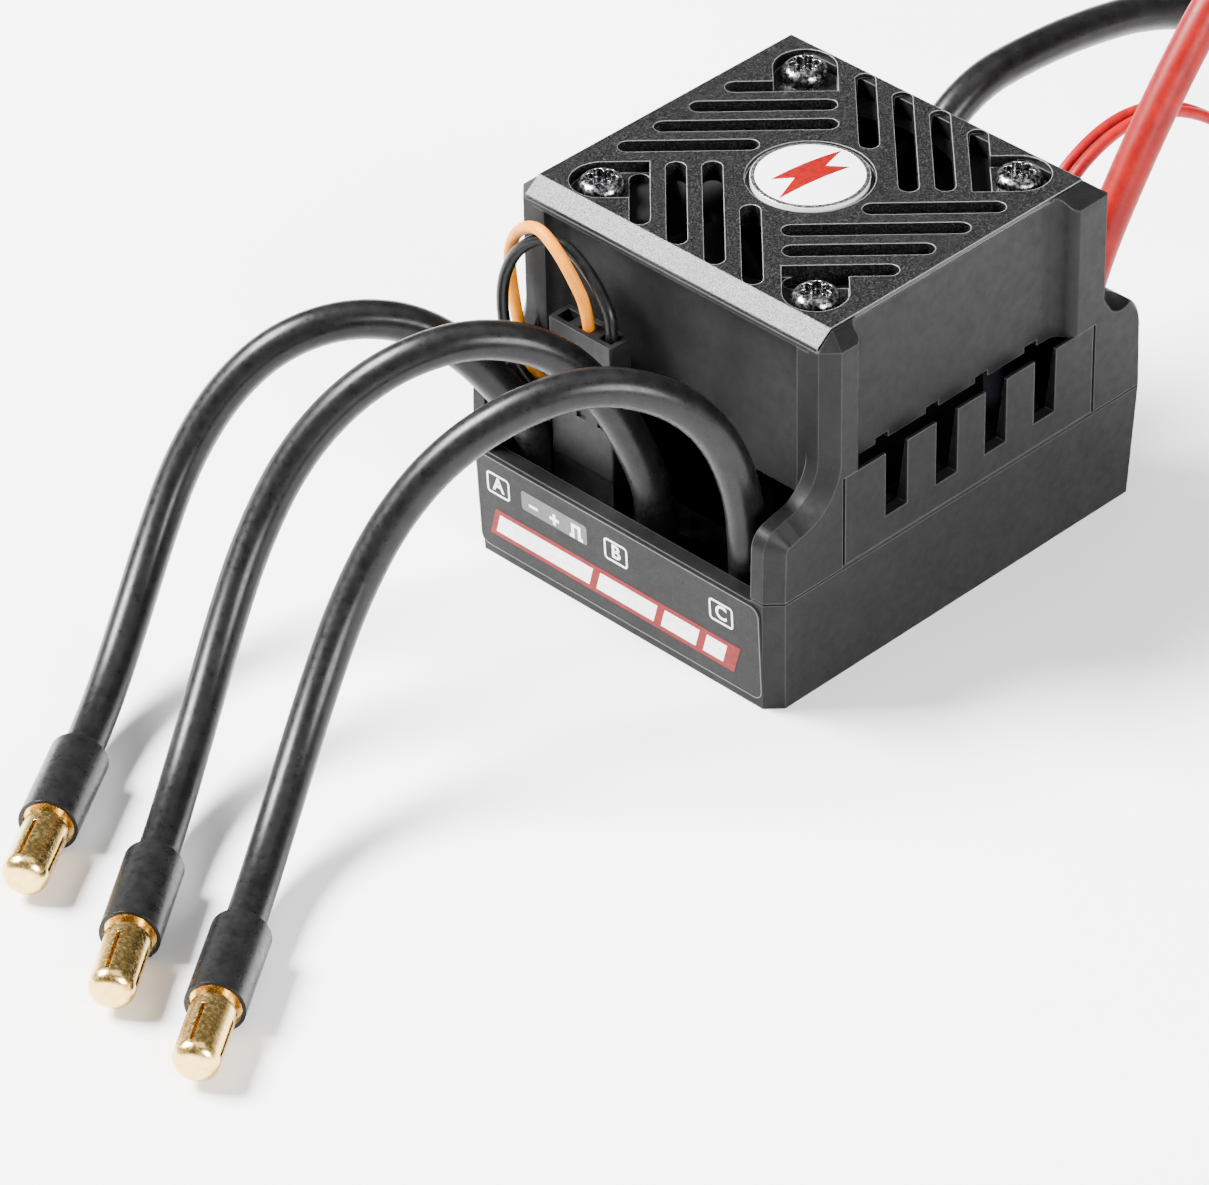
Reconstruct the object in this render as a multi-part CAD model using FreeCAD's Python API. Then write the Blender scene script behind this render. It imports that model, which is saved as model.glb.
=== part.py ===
import FreeCAD, Part
import math
import os

# Electronic speed controller for a 1/10 car: a potted lower case, an upper case with a fan
# tower, and free leads to the motor, the battery and the power switch.
# Millimetres. Origin: centre of the footprint on the surface it stands on.
# -Y is the front, where the motor leads leave; +Y is the back; +Z is up.

V = FreeCAD.Vector

# ---- driving dimensions: case ----
CASE_W = 38.0            # across X at the parting line
CASE_L = 47.0            # along Y at the parting line
PART_Z = 11.7            # parting line between the two case halves
RIM_Z = 11.3             # top edge of the front and rear walls of the lower case
DRAFT = 0.5              # how much the lower case narrows on each side towards the floor
CORNER = 1.4             # facet on the front corners
REAR_CORNER = 0.3        # facet on the rear corners
WALL = 1.5
SEAM = 0.2               # depth and height of the groove along the parting line
FLOOR_T = 1.6

# ---- driving dimensions: tower and fan ----
TOP_Z = 35.6             # upper face of the fan guard
SHOULDER_Z = 34.0        # where the pillars start to slope in to the guard
TOWER_Y0 = -16.6         # front plane of the tower pillars
TOWER_Y1 = 18.5          # rear plane of the tower pillars
FAN_Y = 0.95             # the fan, the guard and the badge share this centre
GUARD_W = 34.7
GUARD_L = 31.6
GUARD_T = 2.0
GUARD_RIM = 0.45         # thickness of the guard where it overlaps the case wall
GUARD_STEP = 1.0         # how far the guard's plug stands in from its rim
LIP_Y = -16.5            # lower edge of the sloped front lip of the guard
LIP_Z = 34.35
RECESS_X = 17.4          # side walls between the pillars, level with the guard's edge
RECESS_FRONT = (-11.9, -13.5)   # y where the recess floor ends and where its end meets the flank
RECESS_REAR = (12.6, 15.0)
BAY_R = 2.0              # rounding where the tower's front and rear walls meet the pillars
SCOOP_R = 2.0
PILLAR_IN = 15.2         # inner edge of the front and rear pillars
WELL_X = 16.2            # half width of the wells that the leads rise from
FRONT_WALL_Y = -15.2     # recessed front wall of the tower
REAR_WALL_Y = 17.4
FRONT_WALL_Z = 17.3      # lower edge of the tower's front wall
FRONT_EAR_Z = 18.6
REAR_EAR_Z = 22.2
INNER_X = 15.9           # inside of the tower
INNER_Y0 = -14.25
INNER_Y1 = 16.15
FAN_SIZE = 30.0
FAN_T = 7.0
FAN_GAP = 0.1            # between the guard and the fan frame
SCREW_PITCH = 25.5
BOSS_Z = 21.5            # underside of the bosses that carry the fan
GUARD_BOTTOM = TOP_Z - GUARD_T
FAN_Z1 = GUARD_BOTTOM - FAN_GAP
FAN_Z0 = FAN_Z1 - FAN_T

# ---- driving dimensions: guard slots, in a frame turned 45 degrees ----
SLOT_W = 1.8
SLOT_PITCH = 3.16
SLOT_FIRST = 14.75       # distance of the outermost slot from the guard's centre
SLOT_MARGIN = 15.5       # slots end on a square of this half width
SLOT_END = 2.7
SLOT_END_SHORT = -4.3
POCKET_R = 2.85
POCKET_DEPTH = 1.2
BADGE_R = 5.25
BADGE_GROOVE = 0.45
BADGE_RISE = 0.4

# ---- driving dimensions: side vents ----
VENT_Y0 = -14.7
VENT_Y1 = 16.9
VENT_TOP = 21.0
VENT_SILL = 14.4         # bottom of the slots
VENT_T = 1.2
VENT_GAP = 0.3
VENT_Z0 = PART_Z + 0.2   # lower edge of the vent panel
TOOTH = (5.0, 3.6, 3.5, 3.6, 4.9)
VENT_X1 = CASE_W / 2

# ---- driving dimensions: inside ----
BOARD_Z = 2.4
BOARD_T = 1.6
BOARD_TOP = BOARD_Z + BOARD_T
POTTING_Z = 7.0
SINK_Z0 = 6.0
SINK_BASE = 2.5
SINK_TOP = 24.0
SINK_Y0 = -12.4
SINK_Y1 = 8.6
SINK_HALF_X = 13.6
CAN_TOP = 21.2           # top of the capacitors
CASE_SCREW_X = 16.35
CASE_SCREW_Y = (-14.9, 16.7)

# ---- driving dimensions: leads ----
LEAD_D = 3.5             # 14 AWG silicone wire
LEAD_END_Z = 4.5
TAB_R = 1.75
THIN_D = 1.1
SLEEVE_D = 5.2
SLEEVE_L = 9.4
SLEEVE_LAP = 3.0         # length of lead inside the sleeve
BULLET_D = 4.0
BULLET_L = 14.0
BARREL_R = 2.25
THIN_PITCH = 1.32        # the switch lead's two wires lie side by side
PLUG_SIZE = (7.6, 2.6, 14.0)
PLUG_X = -7.3
PLUG_Y = -18.9
PLUG_Z0 = 12.3
PIN_PITCH = 2.54

parts = {}


# ---- small helpers ----
def box(x0, x1, y0, y1, z0, z1):
    return Part.makeBox(x1 - x0, y1 - y0, z1 - z0, V(x0, y0, z0))


def centred_box(cx, cy, w, l, z0, z1):
    return box(cx - w / 2, cx + w / 2, cy - l / 2, cy + l / 2, z0, z1)


def cylinder(radius, x, y, z0, z1):
    return Part.makeCylinder(radius, z1 - z0, V(x, y, z0))


def fuse(shapes):
    body = shapes[0]
    if len(shapes) > 1:
        body = body.fuse(shapes[1:])
    return body.removeSplitter()


def prism(points, direction):
    wire = Part.makePolygon([V(*p) for p in points] + [V(*points[0])])
    return Part.Face(wire).extrude(V(*direction))


def mirror_x(shape):
    return shape.mirror(V(0, 0, 0), V(1, 0, 0))


def vertical_edges(shape, test):
    found = []
    for edge in shape.Edges:
        ends = [v.Point for v in edge.Vertexes]
        if len(ends) == 2 and abs(ends[0].x - ends[1].x) < 1e-6 and abs(ends[0].y - ends[1].y) < 1e-6:
            if test(ends[0]):
                found.append(edge)
    return found


def round_verticals(shape, radius, test=lambda p: True):
    return shape.makeFillet(radius, vertical_edges(shape, test))


def octagon(half_x, y0, y1, front_cut, rear_cut, z):
    f, r = front_cut, rear_cut
    pts = [(-half_x + f, y0), (half_x - f, y0), (half_x, y0 + f), (half_x, y1 - r),
           (half_x - r, y1), (-half_x + r, y1), (-half_x, y1 - r), (-half_x, y0 + f)]
    return Part.makePolygon([V(x, y, z) for x, y in pts] + [V(pts[0][0], pts[0][1], z)])


def loft(lower, upper):
    return Part.makeLoft([lower, upper], True, True)


def align(shape, point, direction):
    """Turn a shape built along +Z so that it starts at point and runs along direction."""
    turn = FreeCAD.Rotation(V(0, 0, 1), direction)
    shape.Placement = FreeCAD.Placement(point, turn)
    return shape


def route_path(points):
    """Straight runs joined by tangent arcs; returns the wire and the arc radii."""
    pts = [V(*p) for p in points]
    edges, radii = [], []
    start = pts[0]
    for i in range(1, len(pts) - 1):
        back = pts[i - 1] - pts[i]
        ahead = pts[i + 1] - pts[i]
        cut = 0.45 * min(back.Length, ahead.Length)
        half = (math.pi - back.getAngle(ahead)) / 2
        radii.append(cut / math.tan(half))
        back.normalize()
        ahead.normalize()
        tangent_in = pts[i] + back * cut
        tangent_out = pts[i] + ahead * cut
        inward = back + ahead
        inward.normalize()
        middle = pts[i] + inward * (radii[-1] / math.cos(half) - radii[-1])
        edges.append(Part.LineSegment(start, tangent_in).toShape())
        edges.append(Part.Arc(tangent_in, middle, tangent_out).toShape())
        start = tangent_out
    edges.append(Part.LineSegment(start, pts[-1]).toShape())
    return Part.Wire(edges), radii


def lead_tube(name, points, diameter):
    path, radii = route_path(points)
    ahead = V(*points[1]) - V(*points[0])
    ring = Part.Wire(Part.Circle(V(*points[0]), ahead, diameter / 2).toShape())
    tube = path.makePipeShell([ring], True, False)
    expected = math.pi * diameter ** 2 / 4 * path.Length
    print(name, "length", round(path.Length, 1), "volume ratio", round(tube.Volume / expected, 4),
          "tightest radius", round(min(radii), 1), "radii", [round(r, 1) for r in radii])
    return tube


def heading(points):
    direction = V(*points[-1]) - V(*points[-2])
    return V(*points[-1]), direction.normalize()


# ---- lead routes: chosen by hand, (reach, side, height) from the lead's root ----
MOTOR_LEADS = {
    "a": ((-13.0, -19.2), 36.0,
          [(0, 0, 4.5), (0, 0, 10.4), (1.9, 0.8, 15.4), (4.4, 1, 19.6), (7.8, 0.5, 23.4), (12.2, 0, 26.1),
           (17.8, 0, 26.8), (23.4, 0.2, 25), (28.2, 1, 21), (32.2, 3.2, 15.8), (35.2, 7, 10.8),
           (38, 12, 6.6), (40.6, 17.6, 3.8), (43, 23.4, 2.65), (45.2, 29, 2.65)]),
    "b": ((1.0, -19.2), 34.0,
          [(0, 0, 4.5), (0, 0, 11.6), (1.8, 0, 18.2), (4.9, 0, 24.6), (9.3, 0, 29.6), (15.4, 0, 31.6),
           (21.6, 0, 30.4), (27.2, 0, 26.8), (32, 1, 21.8), (36, 3.8, 16), (39.2, 8, 10.8),
           (42.2, 13.4, 6.4), (45, 19.4, 3.6), (47.4, 25.6, 2.65), (49.6, 31.6, 2.65)]),
    "c": ((12.5, -20.2), 32.0,
          [(-0.34, -0.21, 4.5), (-0.34, -0.21, 12.4), (0.2, -0.1, 19.6), (2.5, 0, 26), (6.8, 0, 30.5),
           (13.2, 0, 32.7), (19.8, 0, 31.2), (25.8, 0, 27.6), (30.8, 1, 22.6), (35, 3.4, 16.8),
           (38.6, 7.2, 11.2), (42, 12.2, 6.6), (45.2, 18, 3.7), (48, 24.2, 2.65), (50.6, 30.2, 2.65)]),
}
BATTERY_LEADS = {
    "red": [(13.5, 19.8, 4.5), (13.5, 19.8, 12.6), (13.5, 22.2, 21.4), (13.5, 27.4, 29.6), (13.5, 33, 37),
            (13.6, 38.8, 43.6), (13.8, 45.6, 47.2), (13.8, 53, 46.2), (13.6, 59.4, 41.2),
            (13.2, 64, 34.2), (12.6, 67.6, 26.2), (11.8, 71, 18.4), (11, 75.6, 11.2),
            (10.2, 81.8, 6.4), (9.6, 88.8, 4.4), (9.6, 95.6, 4.3)],
    "black": [(-8, 19.8, 4.5), (-8, 19.8, 12), (-8, 21.6, 19), (-8, 25.2, 24.8), (-8, 31, 28),
              (-8, 38, 28), (-7.8, 45.4, 27.4), (-7.2, 53, 26.2), (-6, 60.6, 23.4), (-4.2, 67.6, 18.4),
              (-2.2, 74, 12.6), (-0.2, 80.6, 7.8), (1.2, 87.8, 4.6), (1.2, 95.0, 4.3)],
}
SWITCH_LEAD = [(5, 20.4, 4.5), (5, 20.6, 11.6), (5, 22, 18.4), (5, 25.6, 23.6), (5, 30.6, 27), (5, 36.6, 28),
               (5.6, 42.8, 26.4), (7.4, 48.6, 22), (10, 53.8, 16.2), (13, 58.8, 10.2), (16.6, 64.4, 5.2),
               (20.6, 70.6, 1.9), (24.4, 77, 1.7), (27.6, 83.4, 3.3)]
FAN_LEADS = {
    "orange": [(-7.3, -18.9, 25), (-7.2, -19.2, 28.2), (-8.6, -19.7, 31.4), (-10.7, -19.6, 33.4),
               (-13.2, -19.1, 34), (-15.8, -18.7, 32.6), (-17.6, -18.3, 30), (-18.0, -18.1, 27.2),
               (-17.4, -18.2, 24.2), (-16.5, -18.5, 21.4), (-15.4, -18.7, 18.6), (-13.7, -17.4, 16.4),
               (-11.8, -15.9, 15.1), (-9.9, -14.6, 15.3), (-8.8, -13.7, 17.2), (-8.9, -13.4, 20),
               (-8.5, -13.25, 23.2), (-8.6, -13.3, 26.5)],
    "black": [(-4.76, -18.9, 25), (-4.5, -18.8, 27.8), (-6.4, -18.3, 29.8), (-8.9, -17.9, 31.5),
              (-11.4, -18.0, 32.8), (-13.8, -18.7, 32.4), (-15.7, -19.4, 30.6), (-16.8, -19.9, 27.9),
              (-17.0, -20.1, 25), (-16.4, -20.3, 22.2), (-15.3, -20.3, 19.2), (-14.1, -18.8, 16.4),
              (-12.3, -17.0, 14.3), (-10.1, -15.5, 13.5), (-8.1, -14.3, 14.6), (-7.2, -13.5, 17),
              (-7.2, -13.4, 20), (-6.9, -13.25, 23.2), (-7.0, -13.3, 26.5)],
}


def motor_route(key):
    (x0, y0), turn, local = MOTOR_LEADS[key]
    along = V(-math.sin(math.radians(turn)), -math.cos(math.radians(turn)), 0)
    side = V(math.cos(math.radians(turn)), -math.sin(math.radians(turn)), 0)
    world = []
    for reach, offset, height in local:
        p = V(x0, y0, height) + along * reach + side * offset
        world.append((p.x, p.y, p.z))
    return world


# ---- lower case ----
def draft_block(grow=0.0):
    half = CASE_W / 2
    long_half = CASE_L / 2
    low = octagon(half - DRAFT + grow, -long_half + DRAFT - grow, long_half - DRAFT + grow,
                  CORNER, REAR_CORNER, 0)
    high = octagon(half + grow, -long_half - grow, long_half + grow, CORNER, REAR_CORNER, PART_Z)
    return loft(low, high)


def screw_posts(radius, z0, z1):
    posts = []
    for y in CASE_SCREW_Y:
        for x in (-CASE_SCREW_X, CASE_SCREW_X):
            posts.append(cylinder(radius, x, y, z0, z1))
    return posts


def tub_cavity():
    half = CASE_W / 2 - WALL
    long_half = CASE_L / 2 - WALL
    return loft(octagon(half - DRAFT, -long_half + DRAFT, long_half - DRAFT, CORNER, CORNER, FLOOR_T),
                octagon(half, -long_half, long_half, CORNER, CORNER, PART_Z + 1))


def make_lower_case():
    outer = draft_block()
    shell = outer.cut(tub_cavity())
    posts = [p.common(outer) for p in screw_posts(2.3, 0, PART_Z)]
    pads = [centred_box(x, y, 2, 2, FLOOR_T - 0.1, BOARD_Z) for x in (-12, 12) for y in (-19, 0, 19)]
    shell = fuse([shell] + posts + pads)
    for y0, y1 in ((-CASE_L, -CASE_L / 2 + 3), (CASE_L / 2 - 3, CASE_L)):
        shell = shell.cut(box(-WELL_X, WELL_X, y0, y1, RIM_Z, PART_Z + 1))
    seam = box(-CASE_W, CASE_W, -CASE_L, CASE_L, PART_Z - SEAM, PART_Z).cut(draft_block(-SEAM))
    shell = shell.cut(seam)
    shell = shell.cut(fuse(screw_posts(1.05, -1, PART_Z + 1)))
    return shell.cut(fuse(screw_posts(1.75, -1, 1.8)))


# ---- upper case ----
def side_profile():
    """Outline of the upper case seen from the side, closed, in the YZ plane."""
    def p(y, z):
        return V(0, y, z)

    def arc(a, b, c):
        return Part.Arc(a, b, c).toShape()

    def line(a, b):
        return Part.LineSegment(a, b).toShape()

    front = -CASE_L / 2
    back = CASE_L / 2
    f1, f2 = p(front, PART_Z), p(front + 0.15, FRONT_EAR_Z - 1.9)
    f3, f4 = p(front + 2.0, FRONT_EAR_Z + 0.1), p(front + 3.0, FRONT_EAR_Z + 0.4)
    f5, f6 = p(TOWER_Y0, FRONT_EAR_Z + 4.6), p(TOWER_Y0, SHOULDER_Z)
    b1, b2 = p(back, PART_Z), p(back - 0.15, REAR_EAR_Z - 4.3)
    b3, b4 = p(back - 3.4, REAR_EAR_Z), p(TOWER_Y1 + 0.9, REAR_EAR_Z + 0.1)
    b5, b6 = p(TOWER_Y1, REAR_EAR_Z + 1.0), p(TOWER_Y1, SHOULDER_Z)
    edges = [
        line(f1, f2),
        arc(f2, p(front + 0.65, FRONT_EAR_Z - 0.55), f3),
        line(f3, f4),
        arc(f4, p(TOWER_Y0 - 1.1, FRONT_EAR_Z + 1.75), f5),
        line(f5, f6),
        line(f6, b6),
        line(b6, b5),
        arc(b5, p(TOWER_Y1 + 0.27, REAR_EAR_Z + 0.36), b4),
        line(b4, b3),
        arc(b3, p(back - 1.0, REAR_EAR_Z - 1.5), b2),
        line(b2, b1),
        line(b1, f1),
    ]
    return Part.Face(Part.Wire(edges))


def flank_edges(shape, front):
    """The side outline's front or rear edges on both flanks, without the parting line and the top."""
    found = []
    for edge in shape.Edges:
        a, b = edge.Vertexes[0].Point, edge.Vertexes[-1].Point
        middle = edge.valueAt((edge.FirstParameter + edge.LastParameter) / 2)
        on_flank = abs(abs(middle.x) - CASE_W / 2) < 1e-6
        flat = abs(a.z - b.z) < 1e-6 and (abs(a.z - PART_Z) < 1e-6 or abs(a.z - SHOULDER_Z) < 1e-6)
        if on_flank and not flat and abs(a.x - b.x) < 1e-6 and (middle.y < 0) == front:
            found.append(edge)
    return found


def guard_block(gap):
    """The guard's outline with its sloped front lip, grown by gap: a thin rim over a deeper plug."""
    half = GUARD_W / 2 + gap
    plug_half = half - GUARD_STEP
    y0, y1 = FAN_Y - GUARD_L / 2, FAN_Y + GUARD_L / 2 + gap
    front, low, under = LIP_Y - gap, GUARD_BOTTOM - gap, GUARD_RIM + gap
    plug_y1 = y1 - GUARD_STEP
    plug = [(-plug_half, front, low), (-plug_half, front, LIP_Z), (-plug_half, y0, TOP_Z),
            (-plug_half, plug_y1, TOP_Z), (-plug_half, plug_y1, low)]
    rim = [(-half, front, LIP_Z - under), (-half, front, LIP_Z), (-half, y0, TOP_Z),
           (-half, y1, TOP_Z), (-half, y1, TOP_Z - under), (-half, y0, TOP_Z - under)]
    return fuse([prism(plug, (2 * plug_half, 0, 0)), prism(rim, (2 * half, 0, 0))])


def recess_end(y_floor, y_face):
    """Two tangent arcs, from the recess floor at y_floor out to the case's flank at y_face."""
    x_face = CASE_W / 2 + 0.03
    turn = 2 * math.atan((x_face - RECESS_X) / abs(y_face - y_floor))
    radius = (x_face - RECESS_X) / 2 / (1 - math.cos(turn))
    way = math.copysign(radius, y_face - y_floor)

    def hollow(a):
        return V(RECESS_X + radius - radius * math.cos(a), y_floor + way * math.sin(a), VENT_TOP)

    def crown(a):
        return V(x_face - radius + radius * math.cos(a), y_face - way * math.sin(a), VENT_TOP)

    return [Part.Arc(hollow(0), hollow(turn / 2), hollow(turn)).toShape(),
            Part.Arc(hollow(turn), crown(turn / 2), crown(0)).toShape()]


def side_recess():
    """Cut that leaves the side wall level with the guard, with curved ends at the pillars."""
    front, rear = recess_end(*RECESS_FRONT), recess_end(*RECESS_REAR)
    x_out, x_face = CASE_W, CASE_W / 2 + 0.03
    ends = [V(x_face, RECESS_FRONT[1], VENT_TOP), V(x_out, RECESS_FRONT[1], VENT_TOP),
            V(x_out, RECESS_REAR[1], VENT_TOP), V(x_face, RECESS_REAR[1], VENT_TOP)]
    outside = [Part.LineSegment(a, b).toShape() for a, b in zip(ends, ends[1:])]
    floor = Part.LineSegment(V(RECESS_X, RECESS_FRONT[0], VENT_TOP), V(RECESS_X, RECESS_REAR[0], VENT_TOP))
    wire = Part.Wire(Part.__sortEdges__([floor.toShape()] + front + rear + outside))
    return Part.Face(wire).extrude(V(0, 0, TOP_Z - VENT_TOP))


def ear_scoops():
    """Hollows in the outer edge of the rear ears' tops, beside the tower."""
    return [Part.makeSphere(SCOOP_R, V(x, TOWER_Y1 + 2.2, REAR_EAR_Z + 0.7)) for x in (-CASE_W / 2, CASE_W / 2)]


def make_upper_case():
    body = side_profile().extrude(V(CASE_W, 0, 0))
    body.translate(V(-CASE_W / 2, 0, 0))
    body = body.makeChamfer(CORNER, flank_edges(body, True))
    body = body.makeChamfer(REAR_CORNER, flank_edges(body, False))
    lower = octagon(CASE_W / 2, TOWER_Y0, TOWER_Y1, CORNER, REAR_CORNER, SHOULDER_Z)
    upper = octagon(GUARD_W / 2 + 0.1, FAN_Y - GUARD_L / 2, FAN_Y + GUARD_L / 2 + 0.1, 0.1, 0.1, TOP_Z - 0.2)
    body = body.fuse(loft(lower, upper))
    inside = box(-INNER_X, INNER_X, INNER_Y0, INNER_Y1, 0, TOP_Z)
    inside = round_verticals(inside, 1.0)
    cuts = [inside, guard_block(0.05)] + ear_scoops()
    cuts.append(box(-WELL_X, WELL_X, -CASE_L, TOWER_Y0, 0, TOP_Z))
    cuts.append(box(-WELL_X, WELL_X, TOWER_Y1, CASE_L, 0, TOP_Z))
    front_bay = box(-PILLAR_IN, PILLAR_IN, TOWER_Y0 - 1, FRONT_WALL_Y, 0, GUARD_BOTTOM - 0.05)
    rear_bay = box(-PILLAR_IN, PILLAR_IN, REAR_WALL_Y, TOWER_Y1 + 1, 0, GUARD_BOTTOM - 1)
    cuts.append(round_verticals(front_bay, BAY_R, lambda p: p.y > TOWER_Y0))
    cuts.append(round_verticals(rear_bay, BAY_R, lambda p: p.y < TOWER_Y1))
    cuts.append(box(-PILLAR_IN, PILLAR_IN, TOWER_Y0 - 1, INNER_Y0 + 1, 0, FRONT_WALL_Z))
    recess = side_recess()
    window = box(INNER_X - 1, CASE_W, VENT_Y0 + 1, VENT_Y1 - 1, VENT_SILL - 0.4, VENT_TOP)
    seat = box(VENT_X1 - VENT_T - 0.1, CASE_W, VENT_Y0 - VENT_GAP, VENT_Y1 + VENT_GAP, 0, VENT_TOP + 0.01)
    for cut in (recess, window, seat):
        cuts += [cut, mirror_x(cut)]
    for y in vent_slot_centres():
        notch = box(INNER_X - 1, CASE_W, y - 1.0, y + 0.6, VENT_TOP - 1, VENT_TOP + 0.6)
        cuts += [notch, mirror_x(notch)]
    body = body.cut(cuts)
    bosses = []
    for sx in (-1, 1):
        for sy in (-1, 1):
            x, y = sx * SCREW_PITCH / 2, FAN_Y + sy * SCREW_PITCH / 2
            corner = centred_box(x, y, 4.4, 4.4, BOSS_Z, FAN_Z0)
            wall_x = sx * (INNER_X + 0.3)
            to_wall = box(min(x, wall_x), max(x, wall_x), y - 1.4, y + 1.4, BOSS_Z, FAN_Z0)
            bosses += [corner, to_wall]
    body = fuse([body] + bosses)
    body = body.cut(guard_screw_holes(1.1, BOSS_Z - 1, TOP_Z))
    return body.cut(fuse(screw_posts(1.05, PART_Z - 1, FRONT_WALL_Z + 0.2)))


def guard_screw_holes(radius, z0, z1):
    return [cylinder(radius, sx * SCREW_PITCH / 2, FAN_Y + sy * SCREW_PITCH / 2, z0, z1)
            for sx in (-1, 1) for sy in (-1, 1)]


# ---- side vents ----
def vent_slot_centres():
    span = VENT_Y1 - VENT_Y0
    gap = (span - sum(TOOTH)) / (len(TOOTH) - 1)
    centres, y = [], VENT_Y0
    for width in TOOTH[:-1]:
        y += width
        centres.append(y + gap / 2)
        y += gap
    return centres


def make_vent():
    gap = (VENT_Y1 - VENT_Y0 - sum(TOOTH)) / (len(TOOTH) - 1)
    x1 = VENT_X1
    outline = [(x1, VENT_Y0, VENT_Z0), (x1, VENT_Y0, VENT_TOP), (x1 - 0.35, VENT_Y0, VENT_TOP),
               (x1 - VENT_T, VENT_Y0, VENT_SILL - 0.4), (x1 - VENT_T, VENT_Y0, VENT_Z0)]
    comb = prism(outline, (0, VENT_Y1 - VENT_Y0, 0))
    for y in vent_slot_centres():
        comb = comb.cut(box(x1 - 3, x1 + 1, y - gap / 2, y + gap / 2, VENT_SILL, VENT_TOP + 1))
    return comb


# ---- fan guard, badge and screws ----
def slot_shape(v, u0, u1):
    """A round-ended slot along u at distance v from the centre, in the frame turned 45 degrees."""
    r = SLOT_W / 2
    body = box(u0 + r, u1 - r, v - r, v + r, 0, GUARD_T + 2)
    ends = [cylinder(r, u0 + r, v, 0, GUARD_T + 2), cylinder(r, u1 - r, v, 0, GUARD_T + 2)]
    return body.fuse(ends)


def guard_cuts():
    cuts = []
    for k in range(4):
        v = SLOT_FIRST - k * SLOT_PITCH
        u0 = v - SLOT_MARGIN * math.sqrt(2)
        cuts.append(slot_shape(v, u0, SLOT_END_SHORT if k == 3 else SLOT_END))
    head_v = SCREW_PITCH / math.sqrt(2)
    floor = GUARD_T - POCKET_DEPTH
    pocket = box(-POCKET_R, POCKET_R, SLOT_FIRST - SLOT_W / 2, head_v, floor, GUARD_T + 2)
    pocket = pocket.fuse(cylinder(POCKET_R, 0, head_v, floor, GUARD_T + 2))
    return cuts + [pocket]


def make_fan_guard():
    guard = guard_block(0.0)
    base = guard_cuts()
    for quarter in range(4):
        for cut in base:
            piece = cut.copy()
            piece.rotate(V(0, 0, 0), V(0, 0, 1), 45 + 90 * quarter)
            piece.translate(V(0, FAN_Y, GUARD_BOTTOM))
            if piece.BoundBox.ZMin > GUARD_BOTTOM:
                guard = guard.cut(piece)
            else:
                piece.translate(V(0, 0, -1))
                guard = guard.cut(piece)
    groove_r = BADGE_R + BADGE_GROOVE
    groove = cylinder(groove_r, 0, FAN_Y, TOP_Z - 0.5, TOP_Z + 1)
    guard = guard.cut(groove)
    return guard.cut(guard_screw_holes(1.2, 20, TOP_Z + 1))


def make_badge():
    """Disc with a shallow domed top, seated in the guard."""
    low, crown = TOP_Z - 0.5, TOP_Z + 0.5
    dome_r = (BADGE_R ** 2 + BADGE_RISE ** 2) / (2 * BADGE_RISE)
    disc = cylinder(BADGE_R, 0, FAN_Y, low, crown)
    return disc.common(Part.makeSphere(dome_r, V(0, FAN_Y, crown - dome_r), V(1, 0, 0)))


def pan_screw(head_r, head_h, shaft_r, shaft_l, drive_r):
    """Self-tapping pan head screw, head up, with the bearing face at z = 0."""
    side = Part.LineSegment(V(head_r, 0, 0), V(head_r, 0, head_h * 0.35)).toShape()
    dome = Part.Arc(V(head_r, 0, head_h * 0.35), V(head_r * 0.86, 0, head_h * 0.82),
                    V(head_r * 0.5, 0, head_h)).toShape()
    top = Part.LineSegment(V(head_r * 0.5, 0, head_h), V(0, 0, head_h)).toShape()
    axis = Part.LineSegment(V(0, 0, head_h), V(0, 0, -shaft_l)).toShape()
    point = Part.LineSegment(V(0, 0, -shaft_l), V(shaft_r * 0.4, 0, -shaft_l)).toShape()
    tip = Part.LineSegment(V(shaft_r * 0.4, 0, -shaft_l), V(shaft_r, 0, -shaft_l + 1.2)).toShape()
    shaft = Part.LineSegment(V(shaft_r, 0, -shaft_l + 1.2), V(shaft_r, 0, 0)).toShape()
    under = Part.LineSegment(V(shaft_r, 0, 0), V(head_r, 0, 0)).toShape()
    face = Part.Face(Part.Wire([side, dome, top, axis, point, tip, shaft, under]))
    screw = face.revolve(V(0, 0, 0), V(0, 0, 1), 360)
    drive = [Part.makeCylinder(drive_r * 0.62, head_h, V(0, 0, head_h * 0.4))]
    for k in range(6):
        a = math.radians(60 * k)
        drive.append(Part.makeCylinder(drive_r * 0.3, head_h,
                                       V(drive_r * 0.7 * math.cos(a), drive_r * 0.7 * math.sin(a), head_h * 0.4)))
    return screw.cut(drive)


def make_guard_screws():
    seat = TOP_Z - POCKET_DEPTH
    screws = []
    for sx in (-1, 1):
        for sy in (-1, 1):
            screw = pan_screw(2.15, 1.5, 1.0, 11.0, 1.45)
            screw.rotate(V(0, 0, 0), V(0, 0, 1), 17 * sx + 9 * sy)
            screw.translate(V(sx * SCREW_PITCH / 2, FAN_Y + sy * SCREW_PITCH / 2, seat))
            screws.append(screw)
    return Part.makeCompound(screws)


def make_case_screws():
    screws = []
    for y in CASE_SCREW_Y:
        for x in (-CASE_SCREW_X, CASE_SCREW_X):
            screw = pan_screw(1.6, 1.3, 0.98, 13.0, 1.0)
            screw.rotate(V(0, 0, 0), V(1, 0, 0), 180)
            screw.translate(V(x, y, 1.8))
            screws.append(screw)
    return Part.makeCompound(screws)


# ---- front label ----
def make_front_label():
    region = box(-17.3, 17.3, -CASE_L, -CASE_L / 4, 0.9, RIM_Z - 0.3)
    region = region.makeFillet(1.0, [e for e in region.Edges if abs(e.Length - CASE_L * 0.75) < 1e-6])
    skin = draft_block()
    skin.translate(V(0, -0.15, 0))
    return skin.common(region).cut(draft_block()).Solids[0]


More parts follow.
